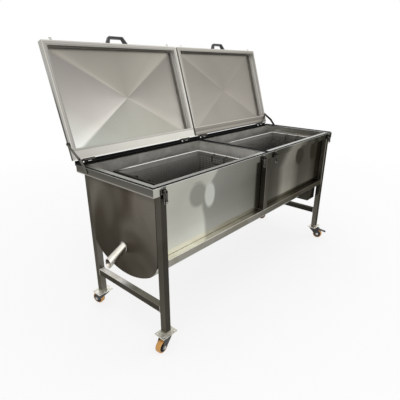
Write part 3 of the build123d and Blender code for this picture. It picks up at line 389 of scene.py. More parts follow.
def trough_tone(tree):
    """A polished outside with painted reflections, and a steamed, mottled inside."""
    mottle = noise(tree, place_pattern(tree, scale=(1, 1, 1.6)),
                   9.0, detail=4.0, roughness=0.6, distortion=0.6)
    inside = ramp(tree, mottle, (0.35, (0.52, 0.51, 0.48)), (0.65, (0.38, 0.373, 0.35)))
    return mixed(tree, outside_face(tree), inside, painted_wall_reflection(tree))


def trough_gloss(tree):
    """The roughness of the steamed inside and of the polished outside."""
    return spread(tree, outside_face(tree), 0.52, 0.17)


POLISHED_STAIN = (0.93, 0.925, 0.91)
trough_steel = steel("bright_trough_sheet", trough_tone, POLISHED_STAIN, ALONG_X, trough_gloss,
                     streak=0.02, blotch=1.6, dent=0.04)

# How far the rim's front stands off the wall, in the painted reflections that both show
RIM_LEAD = 0.048
RIM_DROP = 0.026


def towards_back(tree):
    """0 along the front of the rim and 1 along its back."""
    return ramp(tree, along(tree, "Y", rim_low.y, rim_high.y), (0.6, 0.0), (0.95, 1.0))


def rim_tone(tree):
    """The folded rim, with painted light: its front runs on from the wall's painted reflections, its ends are
    painted darker with a painted highlight along their lower edge, and its top is painted light at the front
    and painted shade at the back."""
    end_band = ramp(tree, along(tree, "Z", RIM_Z - RIM_BAND, RIM_Z),
                    (0.0, (0.34, 0.33, 0.30)), (0.10, (0.30, 0.29, 0.265)), (0.2, (0.125, 0.12, 0.105)),
                    (0.9, (0.105, 0.10, 0.088)), (1.0, (0.2, 0.195, 0.18)))
    top_strip = ramp(tree, along(tree, "X", rim_low.x, rim_high.x),
                     (0.0, (0.78, 0.79, 0.77)), (0.6, (0.81, 0.82, 0.80)), (1.0, (0.84, 0.84, 0.82)))
    top_strip = mixed(tree, towards_back(tree), top_strip, (0.16, 0.156, 0.145))
    band = mixed(tree, looks_endwise(tree), painted_wall_reflection(tree, RIM_LEAD, RIM_DROP), end_band)
    return mixed(tree, looks_up(tree), band, top_strip)


def matte_front_top(tree):
    """The top of the rim, made part matte along its front so that its pale painted tone catches the diffuse
    light.
    """
    return times(tree, looks_up(tree, most=0.32), sums(tree, "SUBTRACT", 1.0, towards_back(tree)))


rim_steel = steel("folded_rim_sheet", rim_tone, POLISHED_STAIN, ALONG_X, rough=0.20,
                  streak=0.02, blotch=1.6, dent=0.04, frost=matte_front_top)


def end_tone(tree):
    """Brown-grey end sheet with soft lighter fields of painted reflection, a painted shadow under the rim,
    darker towards the foot, and steamed inside."""
    soft = noise(tree, place_pattern(tree, scale=(1, 2.6, 1.7), shift=(0, 0.55, 0.3)),
                 1.6, detail=1.0, roughness=0.4, distortion=0.6)
    fields = ramp(tree, soft, (0.38, (0.070, 0.060, 0.049)), (0.50, (0.100, 0.089, 0.074)),
                  (0.62, (0.142, 0.128, 0.109)))
    height = along(tree, "Z", RIM_Z - TROUGH_DEPTH, RIM_Z - RIM_BAND)
    outer = tinted(tree, fields, ramp(tree, height, (0.0, 0.70), (0.5, 0.95), (0.90, 1.1), (1.0, 0.62)))
    outward = times(tree, where(tree)["X"], facing(tree)["X"])
    return mixed(tree, sums(tree, "LESS_THAN", outward, 0.0), outer, (0.55, 0.54, 0.51))


end_steel = steel("end_panel_sheet", end_tone, (0.86, 0.83, 0.78), ALONG_Y, rough=0.27,
                  streak=0.025, blotch=2.2, dent=0.03)
inner_steel = steel("steamed_inner_sheet", (0.62, 0.61, 0.58), (0.76, 0.75, 0.72), ALONG_X, rough=0.48,
                    blotch=7.0)
divider_steel = steel("steamed_divider_sheet", (0.96, 0.95, 0.92), (0.80, 0.79, 0.76), ALONG_Y, rough=0.48,
                      blotch=6.0)
fitting_steel = steel("bright_fitting", (0.55, 0.54, 0.51), (0.70, 0.69, 0.66), ALONG_X, rough=0.22,
                      blotch=22.0)
spout_steel = steel("bright_spout_tube", (0.62, 0.59, 0.54), (0.80, 0.76, 0.70), ALONG_X, rough=0.24,
                    streak=0.06, blotch=14.0)
# Dark latch plates with small bright spots
latch_steel = steel("spotted_latch_plate", (0.24, 0.233, 0.213), (0.38, 0.37, 0.34), ALONG_Z, rough=0.26,
                    streak=0.06, blotch=45.0)
lever_steel = steel("dark_latch_lever", (0.085, 0.081, 0.073), (0.62, 0.60, 0.56), ALONG_Z, rough=0.30,
                    streak=0.06, blotch=30.0)
stay_steel = steel("dark_stay_link", (0.15, 0.145, 0.13), (0.62, 0.60, 0.55), ALONG_Y, rough=0.30,
                   streak=0.06, blotch=25.0)
# The stirrups painted near black, a painted shade for their place inside the trough
shaded_stirrup_steel = steel("dark_stirrup_rod", (0.085, 0.082, 0.075), (0.70, 0.68, 0.64), EVEN, rough=0.32,
                      blotch=30.0)
zinc = steel("zinc_castor_plate", (0.97, 0.95, 0.89), (0.60, 0.58, 0.53), EVEN, rough=0.42,
             streak=0.12, blotch=38.0)
weld_steel = steel("bright_weld_bead", (0.46, 0.45, 0.42), (0.55, 0.52, 0.46), FINE, rough=0.34,
                   streak=0.20, blotch=60.0)
element_steel = steel("dull_element_sheath", (0.10, 0.092, 0.08), (0.55, 0.54, 0.52), ALONG_X, rough=0.5,
                      streak=0.06, blotch=18.0)
# The terminal box painted near black, a painted shade for its place under the trough
shaded_box_steel = steel("terminal_box_sheet", (0.050, 0.046, 0.039), (0.75, 0.73, 0.69), ALONG_X, rough=0.32,
                  blotch=5.0)

# Stretch above the rim over which the hinges' painted shade turns into the catches' tone
CATCH_RISE = 0.6


def hinge_tone(tree):
    """Hinges in painted shade, and bright catches at the lids' front edge."""
    return ramp(tree, along(tree, "Z", RIM_Z, RIM_Z + CATCH_RISE),
                (0.2, (0.09, 0.086, 0.076)), (0.6, (0.60, 0.59, 0.56)))


hinge_steel = steel("shaded_hinge_and_catch", hinge_tone, (0.70, 0.69, 0.66), ALONG_X, rough=0.30, blotch=22.0)

BASKET_DARK_Z, BASKET_PALE_Z = 0.62, 0.90


def basket_tone(tree):
    """Perforated sheet with painted shade that darkens downwards, the end walls more than the long ones."""
    height = along(tree, "Z", BASKET_DARK_Z, BASKET_PALE_Z)
    long_wall = ramp(tree, height, (0.0, (0.14, 0.137, 0.128)), (0.55, (0.27, 0.265, 0.25)),
                     (1.0, (0.60, 0.59, 0.56)))
    end_wall = ramp(tree, height, (0.0, (0.10, 0.098, 0.09)), (0.55, (0.19, 0.186, 0.175)),
                    (1.0, (0.36, 0.355, 0.335)))
    return mixed(tree, looks_endwise(tree), long_wall, end_wall)


basket_steel = steel("perforated_basket_sheet", basket_tone, (0.84, 0.83, 0.80), ALONG_X, rough=0.54,
                     streak=0.04, blotch=6.0)

# Heights in a lid laid flat, from its middle: its lips lie above the first, its panel below the second,
# and a painted shade line runs along the outside of its walls below the third, full near the hinges and gone
# beyond
LIPS_ABOVE = 0.0045
PANEL_BELOW = -0.029
EDGE_LINE_BELOW = -0.012
EDGE_LINE_FULL, EDGE_LINE_GONE = -0.05, 0.15
# How much of the folds' inside is dull, and how dull it is
FOLD_INSIDE = 0.96
FOLD_FROST = 0.8
PANEL_HALF = LID_HALF - Vector((0.022, 0.022))
# Strength of the lips' painted highlights and shade lines, from their inner edge to the lid's edge
LIP_STEPS = ((0.0, 0.9), (0.14, 0.9), (0.22, 0.55), (0.30, 1.0),
             (0.60, 1.1), (0.68, 0.7), (0.78, 1.5), (1.0, 1.4))
# Strength of the hinge lip's painted highlights and shade lines, from the lid's edge to its inner edge
HINGE_LIP_STEPS = {
    "left": ((0.0, 1.3), (0.06, 1.3), (0.10, 0.82), (0.16, 0.97), (0.70, 0.97),
             (0.76, 1.02), (0.81, 0.55), (0.86, 0.72), (1.0, 0.78)),
    "right": ((0.0, 0.4), (0.12, 0.8), (0.30, 1.25), (0.55, 0.70), (0.78, 1.0),
              (0.84, 0.6), (0.90, 1.75), (1.0, 1.7)),
}


def lid_finish(side, left, right, top, bottom, lips, hinge_lip, corner_highlight, contrast):
    """Cross-broken lid sheet with painted light: the four slopes of the panel and the folded lips are painted
    lit and shaded.
    The corner highlight is painted light at the near corner, and contrast sets the folds of the panel off."""
    turn = LID_OPEN - pi
    centre = Vector((SIDES[side] * LID_X, HINGE.y, HINGE.z)) + LID_MIDDLE * LID_UP
    shift = tuple(-(Matrix.Rotation(turn, 3, "X") @ centre))
    hinge_lip_end = LID_HINGE_LIP - LID_HALF.y

    def laid_flat(tree):
        """The place on the lid, from its middle, with the lips upwards."""
        return place_pattern(tree, turn=(turn, 0, 0), shift=shift)

    def shade(tone, factor):
        return stronger(tone, 1 + contrast * (factor - 1))

    # A cooler tint for the painted corner highlight, bluer the brighter
    def cooler(more):
        return 1 + more, (1 + more) * (1 + 0.125 * more), (1 + more) * (1 + 0.16 * more)

    def over_lip(tree, place):
        """0 at the inner edge of the three narrow lips and 1 at the lid's edge."""
        ends = spread(tree, sums(tree, "ABSOLUTE", place["X"]), 0, 1, LID_HALF.x - LID_LIP, LID_HALF.x)
        front = spread(tree, place["Y"], 0, 1, LID_HALF.y - LID_LIP, LID_HALF.y)
        return sums(tree, "MAXIMUM", ends, front)

    def panel_tone(tree, flat):
        """The slopes round the middle painted lit and shaded, with painted highlights along the folds,
        painted light at the near corner and along the right edge.
        """
        scaled = vectors(tree, "MULTIPLY", flat, (1 / PANEL_HALF.x, 1 / PANEL_HALF.y, 0))[0]
        around = add(tree, "ShaderNodeTexGradient", {"Vector": scaled}, gradient_type="RADIAL").outputs["Fac"]
        slopes = ramp(
            tree, around,
            (0.0, left), (0.09, shade(left, 1.12)), (0.123, shade(left, 1.35)),
            (0.127, shade(bottom, 0.88)), (0.25, bottom), (0.373, shade(bottom, 1.05)),
            (0.377, shade(right, 1.42)), (0.42, shade(right, 1.18)), (0.5, right),
            (0.623, shade(right, 0.82)),
            (0.627, shade(top, 1.22)), (0.66, shade(top, 1.03)), (0.75, shade(top, 0.95)),
            (0.83, shade(top, 1.05)), (0.858, shade(top, 1.14)), (0.873, shade(top, 1.42)),
            (0.877, shade(left, 0.80)), (0.94, shade(left, 0.88)), (1.0, left))
        corner = apart(tree, scaled)
        near = sums(tree, "ADD", times(tree, corner["X"], -0.5), times(tree, corner["Y"], -0.5))
        lit = tinted(tree, slopes, ramp(tree, near, (0.0, 1.0), (0.5, cooler(corner_highlight / 4)), (1.0, cooler(corner_highlight))))
        return mixed(tree, ramp(tree, corner["X"], (0.90, 0.0), (1.0, 1.0)), lit, (0.62, 0.605, 0.57))

    def wall_of_lid(tree, place):
        """The lid's walls: painted light inside, greyer outside, with a painted shade line towards the
        hinges.
        """
        outside = sums(tree, "MAXIMUM", *(
            sums(tree, "GREATER_THAN", sums(tree, "ABSOLUTE", place[axis]), half - SHEET / 2)
            for axis, half in (("X", LID_HALF.x), ("Y", LID_HALF.y))))
        edge_line = times(tree, spread(tree, place["Y"], 1, 0, EDGE_LINE_FULL, EDGE_LINE_GONE),
                          sums(tree, "LESS_THAN", place["Z"], EDGE_LINE_BELOW))
        outer = mixed(tree, edge_line, (0.50, 0.49, 0.46), (0.13, 0.125, 0.11))
        return mixed(tree, outside, (0.93, 0.92, 0.89), outer)

    def lip_tone(tree, place):
        """Painted highlights and shade lines along the three narrow lips and the wide one at the hinges."""
        narrow = ramp(tree, over_lip(tree, place),
                      *((at, stronger(lips, factor)) for at, factor in LIP_STEPS))
        wide = ramp(tree, spread(tree, place["Y"], 0, 1, -LID_HALF.y, hinge_lip_end),
                    *((at, stronger(hinge_lip, factor)) for at, factor in HINGE_LIP_STEPS[side]))
        return mixed(tree, sums(tree, "LESS_THAN", place["Y"], hinge_lip_end + SHEET / 2), narrow, wide)

    def tone(tree):
        flat = laid_flat(tree)
        place = apart(tree, flat)
        folded = mixed(tree, sums(tree, "GREATER_THAN", place["Z"], PANEL_BELOW),
                       panel_tone(tree, flat), wall_of_lid(tree, place))
        return mixed(tree, sums(tree, "GREATER_THAN", place["Z"], LIPS_ABOVE), folded, lip_tone(tree, place))

    def under_lips(tree):
        """The dull inside of the folds."""
        place = apart(tree, laid_flat(tree))
        fold = over_lip(tree, place)
        inside = times(tree, sums(tree, "GREATER_THAN", fold, 0.0),
                       sums(tree, "LESS_THAN", fold, FOLD_INSIDE))
        below = sums(tree, "LESS_THAN", place["Z"], LIPS_ABOVE)
        return times(tree, times(tree, inside, below), FOLD_FROST)

    return steel(f"lid_sheet_{side}", tone, (0.94, 0.935, 0.92), ALONG_X, rough=0.30,
                 streak=0.012, blotch=2.2, dent=0.012, frost=under_lips)


ROUGH_DEPTH = 0.0006


def dull(name, tone, worn, rough, grain, bump, gloss=0.5):
    """Rubber, plastic or paint with a fine grain and slight wear."""
    finish, tree, shader = new_finish(name)
    fine = noise(tree, place_pattern(tree), grain, detail=4.0, roughness=0.6)
    wear = noise(tree, place_pattern(tree), grain / 12, detail=3.0, roughness=0.6, distortion=0.5)
    wire(tree, shader, {
        "Base Color": mixed(tree, ramp(tree, wear, (0.5, 0.0), (0.75, 1.0)), tone, worn),
        "Roughness": spread(tree, fine, rough - 0.1, rough + 0.1), "Specular IOR Level": gloss,
        "Normal": dents(tree, fine, bump, ROUGH_DEPTH)})
    return finish


gasket_rubber = dull("black_gasket_rubber", (0.008, 0.008, 0.008), (0.014, 0.013, 0.012),
                     rough=0.66, grain=400, bump=0.15, gloss=0.12)
handle_plastic = dull("black_handle_plastic", (0.014, 0.014, 0.015), (0.03, 0.03, 0.03),
                      rough=0.42, grain=600, bump=0.12)
fork_paint = dull("black_fork_paint", (0.013, 0.013, 0.013), (0.030, 0.029, 0.028),
                  rough=0.38, grain=500, bump=0.1)
core_plastic = dull("black_wheel_core", (0.016, 0.016, 0.016), (0.035, 0.033, 0.03),
                    rough=0.45, grain=500, bump=0.12)
tread_rubber = dull("amber_tread", (0.58, 0.29, 0.075), (0.42, 0.20, 0.05),
                    rough=0.38, grain=300, bump=0.08)

# The finish of each CAD node, told by the ending of its name or else by its start
ENDINGS = {
    "_lever": lever_steel, "_bail": latch_steel, "_fittings": hinge_steel, "_handle": handle_plastic,
    "_fork": fork_paint, "_pedal": fork_paint, "_wheel": core_plastic, "_tyre": tread_rubber,
}
STARTS = {
    "trough_shell": trough_steel, "trough_end": end_steel, "divider": divider_steel, "rim_cap": rim_steel,
    "rim_hinges": hinge_steel, "wax_trays": inner_steel, "wax_spout": spout_steel,
    "element_supports": inner_steel, "heating_element": element_steel, "terminal_box": shaded_box_steel,
    "top_rail": top_tube, "end_rails": top_tube, "long_rails": long_tube, "cross_rails": cross_tube,
    "mid_posts": post_tube, "leg_front_left": front_left_leg, "leg_front_right": front_right_leg,
    "leg_back": back_legs, "castor_plates": zinc, "latch_bases": latch_steel, "stay": stay_steel,
    "lid_gaskets": gasket_rubber,
    "basket_bars": inner_steel, "basket_left": basket_steel, "basket_right": basket_steel,
    # The left lid is painted lit and the right one in painted shade, each with its own painted slopes
    "lid_left": lid_finish(
        "left", left=(0.325, 0.304, 0.279), right=(0.255, 0.24, 0.215), top=(0.255, 0.239, 0.208),
        bottom=(0.275, 0.268, 0.234), lips=(0.37, 0.36, 0.33), hinge_lip=(0.47, 0.46, 0.42),
        corner_highlight=0.80, contrast=1.0),
    "lid_right": lid_finish(
        "right", left=(0.222, 0.207, 0.183), right=(0.23, 0.214, 0.189), top=(0.212, 0.198, 0.174),
        bottom=(0.228, 0.215, 0.19), lips=(0.30, 0.29, 0.262), hinge_lip=(0.20, 0.188, 0.166),
        corner_highlight=0.15, contrast=0.42),
}
for name, node in nodes.items():
    told = [finish for ending, finish in ENDINGS.items() if name.endswith(ending)]
    told += [finish for start, finish in STARTS.items() if name.startswith(start)]
    node.data.materials.clear()
    node.data.materials.append(told[0])


# Pieces


def finish_piece(name, mesh, body, slot, finish, *stands_for, crease=35):
    """Makes an object of a mesh and lets it ride on its body."""
    data = bpy.data.meshes.new(name)
    mesh.to_mesh(data)
    mesh.free()
    data.shade_smooth()
    data.set_sharp_from_angle(angle=radians(crease))
    data.materials.append(finish)
    piece = bpy.data.objects.new(name, data)
    scene.collection.objects.link(piece)
    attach(piece, body)
    if stands_for:
        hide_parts(*stands_for)


def put_in(mesh, part):
    """Joins a part to a mesh."""
    carrier = bpy.data.meshes.new("carrier")
    part.to_mesh(carrier)
    part.free()
    mesh.from_mesh(carrier)
    bpy.data.meshes.remove(carrier)


def stand_on(at, way):
    """Place with its Z along way."""
    return Matrix.Translation(at) @ Vector(way).to_track_quat("Z", "Y").to_matrix().to_4x4()


def of_kind(made, kind):
    return [item for item in made if isinstance(item, kind)]


def new_row(made):
    """The corners that an operator made and the edges between them."""
    corners = of_kind(made, bmesh.types.BMVert)
    ends = set(corners)
    return corners, [edge for edge in of_kind(made, bmesh.types.BMEdge) if ends.issuperset(edge.verts)]


def push(mesh, row, way):
    """Draws a row of edges out along a straight way."""
    corners, edges = new_row(bmesh.ops.extrude_edge_only(mesh, edges=row)["geom"])
    bmesh.ops.translate(mesh, verts=corners, vec=way)
    return corners, edges


def swing(mesh, row, hub, axis, angle, steps):
    """Draws a row of edges round a hub."""
    made = bmesh.ops.spin(mesh, geom=row, cent=hub, axis=axis, angle=angle, steps=steps)
    return new_row(made["geom_last"])


def outermost(mesh, way):
    return max(mesh.faces, key=lambda face: face.calc_center_median().dot(way))


def round_off(mesh, geom, offset, steps, affect="EDGES"):
    bmesh.ops.bevel(mesh, geom=geom, offset=offset, affect=affect, segments=steps, profile=0.5, material=-1)


def close_up(mesh):
    bmesh.ops.remove_doubles(mesh, verts=mesh.verts, dist=1e-6)
    bmesh.ops.recalc_face_normals(mesh, faces=mesh.faces)


def thicken(sheet, thickness):
    bmesh.ops.recalc_face_normals(sheet, faces=sheet.faces)
    bmesh.ops.solidify(sheet, geom=sheet.faces[:], thickness=thickness)


def flat_sheet(mesh, place, length, width, columns=1, rows=1):
    """A flat rectangle round a place, in equal fields."""
    bmesh.ops.create_grid(mesh, x_segments=columns, y_segments=rows, size=0.5,
                          matrix=place @ Matrix.Diagonal((length, width, 1, 1)))


def edge_ring(length, width, band, depth, top_centre, rounding):
    """A flat ring round a rectangle, its long edges rounded."""
    ring = bmesh.new()
    flat_sheet(ring, Matrix.Translation(top_centre), length, width)
    inner = ring.faces[:]
    bmesh.ops.inset_region(ring, faces=inner, thickness=band, use_even_offset=True, use_boundary=True)
    bmesh.ops.delete(ring, geom=inner, context="FACES")
    made = bmesh.ops.extrude_face_region(ring, geom=ring.faces[:])["geom"]
    bmesh.ops.translate(ring, verts=of_kind(made, bmesh.types.BMVert), vec=(0, 0, -depth))
    close_up(ring)
    round_off(ring, [edge for edge in ring.edges if edge.calc_face_angle(0) > 0.5], rounding, 3)
    return ring


def bent_rod(radius, start, heading, *moves):
    """A round rod that runs straight for a length, or bends towards a new heading with a radius."""
    rod = bmesh.new()
    at, heading = Vector(start), Vector(heading)
    bmesh.ops.create_circle(rod, cap_ends=True, segments=12, radius=radius, matrix=stand_on(at, heading))
    row = rod.edges[:]
    for move in moves:
        if len(move) == 1:
            _, row = push(rod, row, heading * move[0])
            at = at + heading * move[0]
        else:
            towards, bend = Vector(move[0]), move[1]
            hub = at + towards * bend
            _, row = swing(rod, row, hub, heading.cross(towards), pi / 2, 6)
            at = hub + heading * bend
            heading = towards
    bmesh.ops.edgeloop_fill(rod, edges=row)
    close_up(rod)
    return rod


def button_head(fixings, at, way, radius, height):
    """A domed rivet or screw head that stands on a surface, with a small socket in its crown."""
    head = bmesh.new()
    way = Vector(way)
    skirt = 0.6 * height
    bmesh.ops.create_cone(head, cap_ends=True, segments=12, radius1=radius, radius2=0.86 * radius,
                          depth=skirt, matrix=stand_on(Vector(at) + way * skirt / 2, way))
    crown = outermost(head, way)
    bmesh.ops.inset_region(head, faces=[crown], thickness=0.36 * radius, depth=height - skirt)
    bmesh.ops.inset_region(head, faces=[crown], thickness=0.08 * radius, depth=-0.35 * height)
    put_in(fixings, head)


BEAD = 0.0026
RIPPLE = 0.005
RIPPLE_NARROW, RIPPLE_WIDE = 0.75, 1.33


def weld_run(beads, start, end, radius=BEAD):
    """A rippled bead laid along a joint."""
    start, end = Vector(start), Vector(end)
    steps = max(3, round((end - start).length / RIPPLE))
    bead = bmesh.new()
    bmesh.ops.create_circle(bead, cap_ends=True, segments=8, radius=RIPPLE_NARROW * radius,
                            matrix=stand_on(start, end - start))
    row = bead.edges[:]
    for step in range(1, steps + 1):
        ring, row = push(bead, row, (end - start) / steps)
        swell = RIPPLE_WIDE if step % 2 else RIPPLE_NARROW
        bmesh.ops.scale(bead, verts=ring, vec=(swell, swell, swell),
                        space=Matrix.Translation(-start.lerp(end, step / steps)))
    bmesh.ops.edgeloop_fill(bead, edges=row)
    close_up(bead)
    put_in(beads, bead)


# Gasket beads on the rim
GASKET_LENGTH = 0.993
GASKET_BAND = 0.006
GASKET_ROUND = 0.0024
gasket_low, gasket_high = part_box("lid_gaskets")
gasket_size = gasket_high - gasket_low
beads = bmesh.new()
for sign in SIDES.values():
    middle = Vector((sign * (gasket_high.x - GASKET_LENGTH / 2), MID.y, gasket_high.z))
    put_in(beads, edge_ring(GASKET_LENGTH, gasket_size.y, GASKET_BAND, gasket_size.z, middle, GASKET_ROUND))
finish_piece("gasket_beads", beads, "frame", "black_gasket", gasket_rubber, "lid_gaskets")


# Rubber strip behind the rim, rolled round the hinge line between the hinges
STRIP = 0.0008
STRIP_DROP = 0.022
STRIP_FLAT = 0.010
STRIP_BEND = 0.003
STRIP_CURL = 0.0042
STRIP_IN = 0.002
HINGE_HALF = 0.040


def rolled_strip(strips, start, end):
    """A strip that lies on the back of the rim, steps out under the hinge line and curls round it."""
    strip = bmesh.new()
    at = Vector((start, rim_high.y + STRIP, RIM_Z - STRIP_DROP))
    corner = bmesh.ops.create_vert(strip, co=at)["vert"]
    made = bmesh.ops.extrude_vert_indiv(strip, verts=corner)
    bmesh.ops.translate(strip, verts=made["verts"], vec=(end - start, 0, 0))
    row = made["edges"]
    out = HINGE.y + STRIP_CURL - at.y - 2 * STRIP_BEND
    up = HINGE.z - at.z - STRIP_FLAT - 2 * STRIP_BEND
    for straight, to_hub, turn, steps in (
            ((0, 0, STRIP_FLAT), (0, STRIP_BEND, 0), -pi / 2, 4),
            ((0, out, 0), (0, 0, STRIP_BEND), pi / 2, 4),
            ((0, 0, up), (0, -STRIP_CURL, 0), radians(320), 14)):
        corners, row = push(strip, row, straight)
        hub = sum((corner.co for corner in corners), Vector()) / len(corners) + Vector(to_hub)
        _, row = swing(strip, row, hub, (1, 0, 0), turn, steps)
    close_up(strip)
    thicken(strip, STRIP)
    put_in(strips, strip)


strips = bmesh.new()
strip_out = rim_high.x - STRIP_IN + HINGE_HALF
stops = [-strip_out, *HINGES_X["left"], *HINGES_X["right"], strip_out]
for start, end in zip(stops, stops[1:]):
    rolled_strip(strips, start + HINGE_HALF, end - HINGE_HALF)
finish_piece("back_strips", strips, "frame", "black_gasket", gasket_rubber, crease=40)


# Perforated baskets with bright folded rims and bent-rod stirrups
PITCH = 0.0142
HOLE_INSET = 0.30 * PITCH
HOLE_CORNER = 0.118 * PITCH
PLAIN_BAND = 0.030
BASKET_RIM = 0.012
BASKET_RIM_DEPTH = 0.010
BASKET_RIM_ROUND = 0.002
WALL_DROP = 0.004
SHADED_END = 0.2
STIRRUP_ROD = 0.004
STIRRUP_BEND = 0.012
STIRRUP_REACH = 0.018
STIRRUP_DROP = 0.034
STIRRUP_SPAN = 0.080


def rim_wire(side, end_x):
    """Bright folded edge, in painted shade at its left end."""

    def tone(tree):
        return ramp(tree, along(tree, "X", end_x, end_x + SHADED_END),
                    (0.1, (0.10, 0.098, 0.09)), (0.6, (0.96, 0.95, 0.92)))

    # Part matte away from the left end
    def part_matte(tree):
        return ramp(tree, along(tree, "X", end_x, end_x + SHADED_END), (0.1, 0.0), (0.6, 0.5))

    return steel(f"bright_basket_rim_{side}", tone, (0.90, 0.89, 0.86), ALONG_X, rough=0.30,
                 streak=0.03, blotch=12.0, frost=part_matte)


def punched_sheet(across, up, at, turn, plain_top):
    """A flat sheet with a hole punched at every pitch, which may have a plain band along its top."""
    sheet = bmesh.new()
    flat_sheet(sheet, Matrix.Translation(at) @ turn, across, up, round(across / PITCH), round(up / PITCH))
    punched = [face for face in sheet.faces
               if not plain_top or face.calc_center_median().z < at[2] + up / 2 - PLAIN_BAND]
    bmesh.ops.inset_individual(sheet, faces=punched, thickness=HOLE_INSET)
    corners = dict.fromkeys(vert for face in punched for vert in face.verts)
    round_off(sheet, list(corners), HOLE_CORNER, 1, "VERTICES")
    bmesh.ops.delete(sheet, geom=[face for face in sheet.faces if len(face.verts) == 8], context="FACES")
    return sheet


for side in SIDES:
    basket = f"basket_{side}"
    low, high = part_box(f"basket_{side}")
    body_low = Vector((low.x + BASKET_RIM, low.y + BASKET_RIM, low.z))
    body_high = Vector((high.x - BASKET_RIM, high.y - BASKET_RIM, high.z - WALL_DROP))
    middle = (body_low + body_high) / 2
    size = body_high - body_low
    walls = bmesh.new()
    for sign in SIGNS:
        at = (middle.x, middle.y - sign * size.y / 2, middle.z)
        face_on = Matrix.Rotation(sign * pi / 2, 4, "X")
        put_in(walls, punched_sheet(size.x, size.z, at, face_on, True))
        at = (middle.x + sign * size.x / 2, middle.y, middle.z)
        end_on = Matrix.Rotation(sign * pi / 2, 4, "Z") @ Matrix.Rotation(pi / 2, 4, "X")
        put_in(walls, punched_sheet(size.y, size.z, at, end_on, True))
    bmesh.ops.remove_doubles(walls, verts=walls.verts, dist=1e-5)
    thicken(walls, SHEET)
    finish_piece(f"{basket}_walls", walls, basket, "perforated_sheet", basket_steel, basket)
    at = (middle.x, middle.y, body_low.z + SHEET)
    floor_sheet = punched_sheet(size.x - 2 * SHEET, size.y - 2 * SHEET, at, Matrix.Identity(4), False)
    thicken(floor_sheet, SHEET)
    finish_piece(f"{basket}_floor", floor_sheet, basket, "perforated_sheet", basket_steel)
    rim = edge_ring(high.x - low.x, high.y - low.y, BASKET_RIM + SHEET, BASKET_RIM_DEPTH,
                    (middle.x, middle.y, high.z), BASKET_RIM_ROUND)
    finish_piece(f"{basket}_rim", rim, basket, "perforated_sheet", rim_wire(side, low.x))
    stirrups = bmesh.new()
    for sign in SIGNS:
        inward = Vector((-sign, 0, 0))
        start = (middle.x + sign * (size.x / 2 - SHEET / 2), middle.y - STIRRUP_SPAN / 2 - STIRRUP_BEND,
                 body_high.z)
        put_in(stirrups, bent_rod(
            STIRRUP_ROD, start, inward,
            (STIRRUP_REACH,), ((0, 0, -1), STIRRUP_BEND), (STIRRUP_DROP,), ((0, 1, 0), STIRRUP_BEND),
            (STIRRUP_SPAN,), ((0, 0, 1), STIRRUP_BEND), (STIRRUP_DROP,), (-inward, STIRRUP_BEND),
            (STIRRUP_REACH,)))
    finish_piece(f"{basket}_stirrups", stirrups, basket, "perforated_sheet", shaded_stirrup_steel)


# Castors: tyres with rounded shoulders, and axle nuts with washers
WHEEL_RADIUS = 0.0375
CORE_RADIUS = 0.030
WHEEL_WIDTH = 0.032
SHOULDER = 0.0058
FORK_OUTSIDE = 0.0225
# Sides, radius, where it starts on the fork, and height; it has a small crown
WASHER = (24, 0.0112, 0.0, 0.0012)
NUT = (6, 0.0098, 0.0012, 0.0034)
NUT_EDGE, NUT_CROWN = 0.0010, 0.0005
AXLE_OUT = 0.005
AXLE_RADIUS = 0.0046
AXLE_HEAD = 0.0016
UP = Vector((0, 0, 1))
for corner in ("front_left", "back_left", "front_right", "back_right"):
    low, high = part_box(f"castor_{corner}_tyre")
    hub = (low + high) / 2
    axle = Vector(joints[f"castor_{corner}_roll"]["axis"]).normalized()
    section = bmesh.new()
    upright = Matrix((axle, UP, axle.cross(UP))).transposed().to_4x4()
    upright.translation = hub + UP * (WHEEL_RADIUS + CORE_RADIUS) / 2
    flat_sheet(section, upright, WHEEL_WIDTH, WHEEL_RADIUS - CORE_RADIUS)
    middle_z = upright.translation.z
    round_off(section, [vert for vert in section.verts if vert.co.z > middle_z], SHOULDER, 6, "VERTICES")
    bmesh.ops.delete(section, geom=section.faces[:], context="FACES_ONLY")
    bmesh.ops.spin(section, geom=section.edges[:], cent=hub, axis=axle, angle=2 * pi, steps=56,
                   use_merge=True)
    close_up(section)
    finish_piece(f"castor_{corner}_tread", section, f"castor_{corner}_wheel", "amber_tread", tread_rubber,
                 f"castor_{corner}_tyre")
    nuts = bmesh.new()
    for sign in SIGNS:
        way = sign * axle
        for sides, radius, start, height in (WASHER, NUT):
            nut = bmesh.new()
            middle = hub + way * (FORK_OUTSIDE + start + height / 2)
            bmesh.ops.create_cone(nut, cap_ends=True, segments=sides, radius1=radius, radius2=radius,
                                  depth=height, matrix=stand_on(middle, way))
            bmesh.ops.inset_region(nut, faces=[outermost(nut, way)], thickness=NUT_EDGE, depth=NUT_CROWN)
            put_in(nuts, nut)
        button_head(nuts, hub + way * (FORK_OUTSIDE + AXLE_OUT), way, AXLE_RADIUS, AXLE_HEAD)
    finish_piece(f"castor_{corner}_axle_nuts", nuts, f"castor_{corner}_fork", "zinc_plate", fitting_steel)


